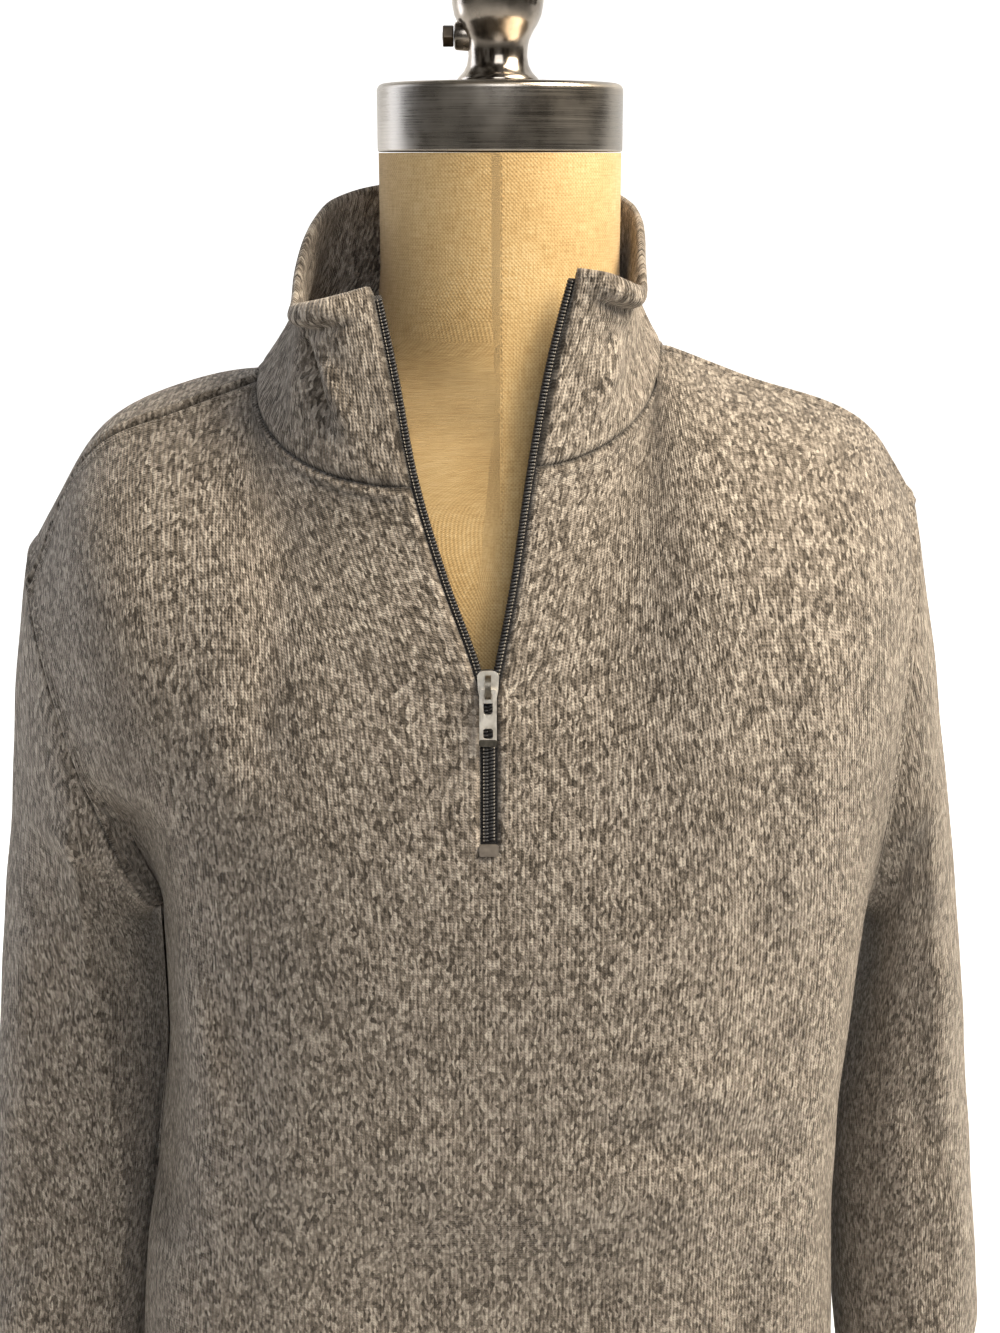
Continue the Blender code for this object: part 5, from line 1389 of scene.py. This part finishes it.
# tapes under the cloth edges, the bars of the coil and the stitches that hold them
def buildZip(pieces):
    under = cloth["wall"] / 2 + zipper["tapeGap"] + zipper["tape"] / 2
    edge, width = zipper["edge"], zipper["coilWidth"]
    for side in ("left", "right"):
        wearer = wearerSide[side].capitalize()
        points, away, normals = edgeStations(pieces, side)
        onPanel = np.clip((sides[side]["neckFrontHeight"] - 2 * mm - points[:, 2]) / (4 * mm), 0, 1)
        line = points - normals * under
        reach = np.where(onPanel > 0.5, zipper["tapeReach"], zipper["collarReach"])
        columns = np.linspace(0, 1, 7)
        free = -edge - zipper["tapeBeyond"]
        places = free + columns * (reach[:, None] - free)
        heights = zipper["tapeCrown"] * np.sin(columns * math.pi)
        grid = line[:, None] + away[:, None] * places[..., None] + normals[:, None] * heights[None, :, None]
        height, top = points[:, 2], points[-1, 2]
        kept = (height > zipper["foot"] - zipper["tapeBelow"]) & (height <= top - zipper["tapeShort"])
        grid = grid[kept]
        run = runOf(grid[:, 3])
        turned = np.dot(np.cross(away[0], points[1] - points[0]), normals[0]) < 0
        piece = {"shown": grid, "grid": grid, "normal": np.repeat(normals[kept][:, None], 7, axis=1),
                 "present": np.ones((len(grid) - 1, 6), bool), "wrap": False, "flip": turned,
                 "weave": (places[kept], np.broadcast_to(run[:, None], grid.shape[:2]))}
        tape = buildShell("zipTape" + wearer, piece, zipper["tape"], materials["tape"])
        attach(tape, "sweater_on_form")
        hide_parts("zip_tape_" + wearerSide[side])

        # one bar of the coil for each turn, with its stitches, clear of the slider
        onCoil = (height > zipper["foot"] + zipper["coilAbove"]) & (height < top - zipper["coilShort"])
        centre = (line - away * edge + normals * (zipper["tape"] / 2 + 0.15 * mm))[onCoil]
        at, way, up = spaced(centre, normals[onCoil], zipper["pitch"], 0.5 if side == "left" else 1.0)
        out = -unit(rowsAt(at[:, 2], points[:, 2], away))
        closed = np.clip((zipper["sliderHeight"] - at[:, 2]) / (4 * mm), 0, 1)[:, None]
        slant = unit(out + way * 0.16 * (1 - closed))
        bar = toothShape(width, zipper["coilHeight"], zipper["wire"])
        coil = scatter("zipCoil" + wearer, bar, at, slant, unit(np.cross(up, slant)), up, materials["coil"])
        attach(coil, "sweater_on_form")
        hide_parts("zip_coil_" + wearerSide[side])
        print("zip side", side, len(at), "turns of coil")
        beads = capsule(*zipper["bead"])
        over = at - out * 0.75 * mm + up * (zipper["coilHeight"] - 0.05 * mm)
        thread = scatter("coilStitches" + wearer, beads, over, way, unit(np.cross(up, way)), up,
                         materials["coilThread"])
        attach(thread, "sweater_on_form")


# one bar of the coil: a wire that rises from the tape, crosses over and goes back down
def toothShape(width, height, wire):
    turns = np.linspace(0, math.pi, 9)
    across = -width / 2 * np.cos(turns) * (1 - 0.12 * np.sin(turns))
    rise = (height - wire) * np.sin(turns) ** 0.55
    points = []
    around = 6
    for index, (x, z) in enumerate(zip(across, rise)):
        before, after = max(index - 1, 0), min(index + 1, len(turns) - 1)
        tilt = math.atan2(rise[after] - rise[before], across[after] - across[before])
        for k in range(around):
            turn = 2 * math.pi * k / around
            side, off = wire * 1.25 * math.cos(turn), wire * math.sin(turn)
            points.append((x - off * math.sin(tilt), side, z + off * math.cos(tilt)))
    return np.array(points), [face[::-1] for face in ringFaces(len(turns), around)]


slider = {
    "length": 14.6 * mm,
    "width": 10.4 * mm,
    "plate": 1.5 * mm,
    "gap": 5.8 * mm,             # between its front and back plates
    "backPlate": 1.0 * mm,
    "post": (1.2 * mm, 3.0 * mm, 0.6 * mm),   # half width, and its ends below the slider's top edge
    "bailFoot": 0.3 * mm,        # sunk into the front plate
    "bailWidth": 2.7 * mm,
    "bailLength": 11.0 * mm,
    "bailRise": 5.0 * mm,
    "bailWall": 1.25 * mm,
    "pinDrop": 1.6 * mm,
    "pinRise": 1.35 * mm,
    "tabWidth": 7.8 * mm,
    "tabLength": 25.6 * mm,
    "tabWall": 1.5 * mm,
    "tabTop": 0.8 * mm,          # above its pin
    "tabCorner": 1.3 * mm,
    "waist": (13.5 * mm, 4.0 * mm, 0.10),     # place below the pin, half length and depth as a share
    # openings of the tab: half width, lower end, upper end, corner radius
    "eye": (2.05 * mm, -10.6 * mm, -0.9 * mm, 1.4 * mm),
    "window": (2.2 * mm, -21.4 * mm, -16.8 * mm, 1.1 * mm),
    "bar": 3.0 * mm,             # the thicker bar across its end
}


# a rounded plate from an outline, with its edge softened by a bevel
def plate(name, outline, low, high, material, soften, axis=2, holes=()):
    shape = bpy.data.curves.new(name, "CURVE")
    shape.dimensions = "2D"
    shape.fill_mode = "BOTH"
    for loop in (outline, *holes):
        spline = shape.splines.new("POLY")
        spline.points.add(len(loop) - 1)
        for point, (x, y) in zip(spline.points, loop):
            point.co = (x, y, 0, 1)
        spline.use_cyclic_u = True
    shape.extrude = (high - low) / 2
    holder = addObject(name, shape)
    bpy.context.view_layer.update()
    mesh = bpy.data.meshes.new_from_object(holder.evaluated_get(bpy.context.evaluated_depsgraph_get()))
    bpy.data.objects.remove(holder, do_unlink=True)
    bpy.data.curves.remove(shape)
    mesh.transform(Matrix.Translation((0, 0, (high + low) / 2)))
    if axis == 0:
        mesh.transform(Matrix(((0, 0, 1, 0), (1, 0, 0, 0), (0, 1, 0, 0), (0, 0, 0, 1))))
    mesh.name = name
    mesh.materials.clear()
    mesh.materials.append(material)
    thing = addObject(name, mesh)
    weld = thing.modifiers.new("weld", "WELD")
    weld.merge_threshold = 0.00002
    edge = thing.modifiers.new("softened", "BEVEL")
    edge.width = soften
    edge.segments = 3
    edge.limit_method = "ANGLE"
    edge.angle_limit = math.radians(40)
    edge.harden_normals = True
    mesh.shade_smooth()
    return thing


# outline of a rectangle with round corners
def roundedBox(left, right, low, high, radius, steps=5):
    corners = ((right - radius, low + radius, -90), (right - radius, high - radius, 0),
               (left + radius, high - radius, 90), (left + radius, low + radius, 180))
    return [(x + radius * math.cos(math.radians(start + 90 * k / steps)),
             y + radius * math.sin(math.radians(start + 90 * k / steps)))
            for x, y, start in corners for k in range(steps + 1)]


# axes on the zip at a given height: across, up along it and out of the cloth
def zipFrame(height):
    row = smoothTable(zipper["line"], np.array([height]))[0]
    up = Vector((0, math.sin(zipper["lean"]), math.cos(zipper["lean"])))
    out = Vector((0, -math.cos(zipper["lean"]), math.sin(zipper["lean"])))
    place = Matrix((Vector((1, 0, 0)), up, out)).transposed().to_4x4()
    place.translation = Vector((row[0], row[2], height))
    return place


# slider body: front and back plates, the post between them and the bail; gives the height of its face
def buildSlider():
    place = zipFrame(zipper["sliderHeight"])
    half, width = slider["length"] / 2, slider["width"] / 2
    face = 1.8 * mm - cloth["wall"] / 2      # height of its back over the middle of the cloth
    outline = []
    for share in np.linspace(0, 1, 40, endpoint=False):
        turn = 2 * math.pi * share
        x, y = math.cos(turn), math.sin(turn)
        wide = width * (0.80 + 0.20 * np.clip((y + 0.4) / 0.9, 0, 1) - 0.10 * np.clip((y - 0.72) / 0.28, 0, 1))
        outline.append((wide * np.sign(x) * abs(x) ** 0.45, half * np.sign(y) * abs(y) ** 0.6))
    front = plate("zipSlider", outline, face, face + slider["plate"], materials["nickel"], 0.45 * mm)
    behind = face - slider["gap"]
    rear = plate("sliderBack", outline, behind - slider["backPlate"], behind, materials["pewter"], 0.3 * mm)
    narrow, low, high = slider["post"]
    post = plate("sliderPost", roundedBox(-narrow, narrow, half - low, half - high, 0.6 * mm),
                 behind - 0.2 * mm, face + 0.4 * mm, materials["pewter"], 0.1 * mm)
    top = face + slider["plate"]
    turns = np.linspace(0, math.pi, 25)
    reach, rise, wall = slider["bailLength"] / 2, slider["bailRise"], slider["bailWall"]
    foot = top - slider["bailFoot"]
    outer = [(-reach * math.cos(t), foot + rise * math.sin(t) ** 0.8) for t in turns]
    inner = [(-(reach - wall) * math.cos(t), foot + (rise - wall) * math.sin(t) ** 0.8) for t in turns]
    half = slider["bailWidth"] / 2
    bail = plate("sliderBail", outer + inner[::-1], -half, half, materials["pewter"], 0.4 * mm, axis=0)
    for piece in (front, rear, post, bail):
        piece.data.transform(place)
        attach(piece, "sweater_on_form")
    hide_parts("zip_slider")
    return top


# the tab on its pin, with an eye round the bail, a lower window and a bar across its end
def buildPull(top):
    place = zipFrame(zipper["sliderHeight"])
    pin = place @ Vector((0, -slider["pinDrop"], top + slider["pinRise"]))
    half = slider["tabWidth"] / 2
    end = slider["tabTop"] - slider["tabLength"]
    at, reach, pinch = slider["waist"]
    outline = [(x * (1 - pinch * math.exp(-((y + at) / reach) ** 2)), y)
               for x, y in roundedBox(-half, half, end, slider["tabTop"], slider["tabCorner"])]
    holes = [roundedBox(-wide, wide, low, high, corner)
             for wide, low, high, corner in (slider["eye"], slider["window"])]
    thick = slider["tabWall"] / 2
    tab = plate("pullTab", outline, -thick, thick, materials["nickel"], 0.35 * mm, holes=holes)
    across = half + 0.15 * mm
    bar = plate("pullBar", roundedBox(-across, across, end - 0.1 * mm, end + slider["bar"], 1.0 * mm),
                -thick - 0.25 * mm, thick + 0.25 * mm, materials["pewter"], 0.45 * mm)
    turn = Matrix.Translation(pin) @ place.to_3x3().to_4x4()
    for piece in (tab, bar):
        piece.data.transform(turn)
        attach(piece, "pull")
    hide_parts("pull_tab")


# the moulded block that ends the zip
def buildStop():
    place = zipFrame(zipper["foot"] + zipper["stopAbove"])
    half, tall = zipper["stopHalf"]
    shape = roundedBox(-half, half, -tall, tall, 1.1 * mm)
    stop = plate("zipBottomStop", shape, -0.9 * mm, 1.2 * mm, materials["resin"], 0.5 * mm)
    stop.data.transform(place)
    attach(stop, "sweater_on_form")
    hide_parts("zip_bottom_stop")


# the form, with the lapped seam down the middle of its front and back
def buildForm(pieces):
    grid = settleForm(formGrid(), pieces)
    rows, columns = grid.shape[:2]
    along = np.roll(grid, -1, 1) - np.roll(grid, 1, 1)
    rise = np.gradient(grid, axis=0)
    normal = unit(np.cross(along, rise))
    turns = np.arange(columns) / columns * 2 * math.pi
    across = grid[..., 0]
    onFront = (np.abs(np.cos(turns)) > 0.7)[None, :]
    top = np.clip((grid[..., 2] - 0.05) / 0.03, 0, 1)
    lap = np.clip((across + 0.3 * mm) / (0.8 * mm), 0, 1) * np.clip((5 * mm - across) / (4 * mm), 0, 1)
    lift = form["seam"] * lap * onFront * top
    shown = grid + normal * lift[..., None]
    length = runOf(grid[:, 0])
    run = np.linalg.norm(np.diff(np.concatenate([grid, grid[:, :1]], 1), axis=1), axis=-1)
    around = np.cumsum(run, axis=1) - run
    places = np.stack([around, np.broadcast_to(length[:, None], around.shape)], -1).reshape(-1, 2)
    made = addMesh("formCanvas", shown.reshape(-1, 3), ringFaces(rows, columns), materials["canvas"],
                   places=places, wrapWidth=run.sum(1).max())
    split = made.modifiers.new("ends", "EDGE_SPLIT")
    split.split_angle = math.radians(50)
    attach(made, "sweater_on_form")
    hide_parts("form_torso")
    # stitches that hold the lapped seam
    middle = grid[:, 0]
    kept = middle[:, 2] > form["stitchFrom"]
    length, radius, pitch = form["stitch"]
    line = middle[kept] + np.array([0.0, -1.0, 0]) * form["seam"] * 0.9 + np.array([1.1 * mm, 0, 0])
    at, way, up = spaced(line, np.repeat([[0.0, -1.0, 0.0]], kept.sum(), 0), pitch)
    thread = scatter("formStitches", capsule(length, radius), at, way, unit(np.cross(up, way)), up,
                     materials["linenThread"])
    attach(thread, "sweater_on_form")
    print("form", len(made.data.polygons), "faces")
    return made


stand = {
    "baseHeight": 20 * mm,
    "baseHalf": (0.156, 0.094),
    "capFoot": 0.824,
    "capTop": 0.855,
    "capRadius": 0.058,
    "capRounding": 3.2 * mm,
    "finialX": -0.001,
    # turned outline of the finial: height above the cap, radius
    "finial": np.array([
        (0.0003, 0.0186), (0.0012, 0.0192), (0.0026, 0.0190), (0.0042, 0.0174), (0.0055, 0.0162),
        (0.0085, 0.0146), (0.0125, 0.0139), (0.0165, 0.0141), (0.0200, 0.0149), (0.0235, 0.0166),
        (0.0270, 0.0188), (0.0305, 0.0204), (0.0350, 0.0213), (0.0410, 0.0217), (0.0470, 0.0213),
        (0.0520, 0.0203), (0.0560, 0.0189), (0.0605, 0.0167), (0.0640, 0.0143), (0.0675, 0.0112),
        (0.0700, 0.0077), (0.0712, 0.0042), (0.0715, 0.0020),
    ]),
    "bossRadius": 6.4 * mm,
    "bossReach": 20.3 * mm,
    "boltHeight": 21.5 * mm,
    "boltRadius": 2.9 * mm,
    "threadPitch": 1.0 * mm,
    "headAcross": 5.4 * mm,
    "headLength": 5.0 * mm,
}


# a turned solid from rows of height and radius, about the third or the first axis
def turned(name, profile, place, around, material, axis=2):
    turns = np.linspace(0, 2 * math.pi, around, endpoint=False)
    points = []
    for height, radius in profile:
        for turn in turns:
            x, y = radius * math.cos(turn), radius * math.sin(turn)
            points.append((x, y, height) if axis == 2 else (height, x, y))
    return addMesh(name, np.array(points) + np.array(place), ringFaces(len(profile), around), material)


# cap, finial with its boss and bolt, and the board below
def buildStand():
    cap, rounding = stand["capRadius"], stand["capRounding"]
    height = stand["capTop"] - stand["capFoot"]
    profile = [(0.0002, cap - 0.8 * mm), (0.0006, cap - 0.1 * mm), (0.0014, cap)]
    profile += [(height - rounding * (1 - math.sin(t)), cap - rounding * (1 - math.cos(t)))
                for t in np.linspace(0, math.pi / 2, 9)]
    profile += [(height - 0.05 * mm, 0.030), (height - 0.05 * mm, 0.0200)]
    capPiece = turned("neckCap", profile, (0, 0, stand["capFoot"]), 160, materials["brushedSteel"])
    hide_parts("neck_cap")

    centre = (stand["finialX"], 0, stand["capTop"])
    finial = turned("finialTurned", stand["finial"], centre, 96, materials["polishedSteel"])
    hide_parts("finial")
    bossCentre = np.array([stand["finialX"], 0, stand["capTop"] + stand["boltHeight"]])
    reach, radius, bore = stand["bossReach"], stand["bossRadius"], stand["boltRadius"] + 0.5 * mm
    profile = [(-0.008, radius * 1.14), (-reach + 4.5 * mm, radius * 1.04), (-reach + 1.2 * mm, radius),
               (-reach + 0.4 * mm, radius - 0.25 * mm), (-reach, radius - 0.9 * mm), (-reach, bore + 0.4 * mm),
               (-reach + 0.4 * mm, bore), (-0.0130, bore)]
    boss = turned("finialBoss", profile, bossCentre, 48, materials["polishedSteel"], axis=0)
    wrap = boss.modifiers.new("edges", "EDGE_SPLIT")
    wrap.split_angle = math.radians(50)

    pitch, radius = stand["threadPitch"], stand["boltRadius"]
    head = -reach - 0.4 * mm
    starts = np.arange(head + 0.2 * mm, -0.0132, pitch / 2)
    profile = [(height, radius if index % 2 else radius - 0.45 * mm) for index, height in enumerate(starts)]
    shank = turned("boltShank", profile, bossCentre, 24, materials["dullSteel"], axis=0)
    hexagon = [(stand["headAcross"] * math.cos(math.radians(60 * k + 8)),
                stand["headAcross"] * math.sin(math.radians(60 * k + 8))) for k in range(6)]
    bolt = plate("boltHead", hexagon, head - stand["headLength"], head, materials["dullSteel"], 0.6 * mm, axis=0)
    bolt.data.transform(Matrix.Translation(bossCentre))
    dimple = turned("boltDimple", [(head - stand["headLength"] - 0.25 * mm, 1.4 * mm),
                                   (head - stand["headLength"] - 0.05 * mm, 2.7 * mm),
                                   (head - stand["headLength"] + 0.3 * mm, 3.0 * mm)],
                    bossCentre, 24, materials["dullSteel"], axis=0)
    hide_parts("finial_bolt")
    for piece in (shank, bolt, dimple):
        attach(piece, "bolt")

    half, deep = stand["baseHalf"]
    rows = [(0.0, -2.0 * mm), (0.8 * mm, -0.6 * mm), (2.4 * mm, 0.0), (12.0 * mm, 0.0), (13.4 * mm, -1.0 * mm),
            (14.2 * mm, -1.4 * mm), (15.0 * mm, -1.0 * mm), (18.0 * mm, -1.4 * mm), (19.4 * mm, -2.4 * mm),
            (20.0 * mm, -4.0 * mm)]
    around = 128
    turns = np.linspace(0, 2 * math.pi, around, endpoint=False)
    points = [((half + inset) * math.cos(turn), (deep + inset) * math.sin(turn), height)
              for height, inset in rows for turn in turns]
    board = addMesh("formBase", np.array(points), ringFaces(len(rows), around), materials["stainedBeech"])
    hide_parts("form_base")
    for piece in (capPiece, finial, boss, board):
        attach(piece, "sweater_on_form")
    print("stand built")


pieces = buildGarment()
made = buildStitches(pieces)
buildZip(pieces)
buildPull(buildSlider())
buildStop()
buildForm(pieces)
buildStand()

# what each cloth piece was cut to, before it was sewn and worn: width, length and flat area in metres
cuts = {
    "frontPanel": ("front_panel", (0.60, 0.68), 0.350, "draped"),
    "backPanel": ("back_panel", (0.56, 0.72), 0.350, "draped"),
    "sleeveLeft": ("sleeve_left", (0.38, 0.58), 0.145, "hung"),
    "sleeveRight": ("sleeve_right", (0.38, 0.56), 0.150, "hung"),
    "collar": ("collar", (0.44, 0.10), 0.034, "folded"),
}
for name, (node, flat, area, held) in cuts.items():
    piece = pieces[name]["made"]
    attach(piece, "sweater_on_form")
    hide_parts(node)


studio = {
    "paper": ("#f0f0ee", "#f8f8f7"),
    "cameraHeight": 0.82,
    "cameraBack": 0.934,
    "tilt": 14.9,
    "lens": 51.3,
    "room": 0.26,                # strength of the soft light from all round
    "lights": (
        # name, place, target, watts, size, colour
        ("keyLight", (0.80, -0.42, 1.55), (0.08, -0.05, 0.62), 34, (0.8, 0.8), "#fff3e0"),
        ("rimLight", (-1.35, 0.55, 1.00), (-0.15, 0, 0.45), 7, (0.5, 1.3), "#e6eeff"),
        ("fillLight", (0.15, -2.2, 1.9), (0, 0, 0.60), 21, (1.2, 1.2), "#eef2fa"),
    ),
}


# seamless paper, rolled and matt: faint mottling, with light of its own that grows towards the wall
def makePaper():
    made, tree = newMaterial("paperBackdrop")
    place = add(tree, "TexCoord", out="Object")
    grain = add(tree, "TexNoise", {"Vector": place, "Scale": 40.0, "Detail": 3.0})
    depth = add(tree, "SeparateXYZ", {0: place}, 1)
    return finished(made, {
        "Base Color": add(tree, "ValToRGB", {0: grain}, stops=tuple(zip((0.3, 0.7), studio["paper"]))),
        "Roughness": 0.9, "Emission Color": (1.0, 1.0, 1.0, 1.0),
        "Emission Strength": add(tree, "MapRange", {0: depth, 1: -0.3, 2: 1.2, 3: 0.04, 4: 0.75})})


# floor that sweeps up behind into a wall
def buildStudio():
    profile = [(-6.0, 0.0), (2.2, 0.0)]
    profile += [(2.2 + 1.6 * math.sin(t), 1.6 - 1.6 * math.cos(t)) for t in np.linspace(0.1, math.pi / 2, 12)]
    profile += [(3.8, 6.0)]
    points = [(x, y, z - 0.0002) for x in (-7.0, 7.0) for y, z in profile]
    count = len(profile)
    faces = [[k, k + count, k + 1 + count, k + 1] for k in range(count - 1)]
    sweep = addMesh("backdrop", points, faces, makePaper())


# a square lamp that faces its target
def addLight(name, place, target, power, size, colour):
    light = bpy.data.lights.new(name, "AREA")
    light.energy = power
    light.shape = "RECTANGLE"
    light.size, light.size_y = size
    light.color = linear(colour)[:3]
    thing = addObject(name, light)
    thing.location = place
    thing.rotation_euler = (Vector(target) - Vector(place)).to_track_quat("-Z", "Y").to_euler()


buildStudio()
for light in studio["lights"]:
    addLight(*light)

# a dim room with upright bands, for the metal to reflect
world = bpy.data.worlds.new("softRoom")
world.use_nodes = True
room = world.node_tree
upright = add(room, "Mapping", {"Vector": add(room, "TexCoord", out="Generated"), "Scale": (2.6, 2.6, 0.35)})
windows = add(room, "TexNoise", {"Vector": upright, "Scale": 1.6, "Detail": 2.0})
bands = add(room, "ValToRGB", {0: windows}, stops=((0.40, "#38332e"), (0.52, "#a39c93"), (0.62, "#f2f3f4")))
feed(room, room.nodes["Background"], {0: bands, 1: studio["room"]})
bpy.context.scene.world = world
bpy.context.scene.view_settings.view_transform = "Standard"

view = bpy.data.cameras.new("camera")
view.lens = studio["lens"]
camera = addObject("camera", view)
camera.location = (0, -studio["cameraBack"], studio["cameraHeight"])
camera.rotation_euler = (math.radians(90 - studio["tilt"]), 0, 0)
bpy.context.scene.camera = camera

bpy.context.view_layer.update()
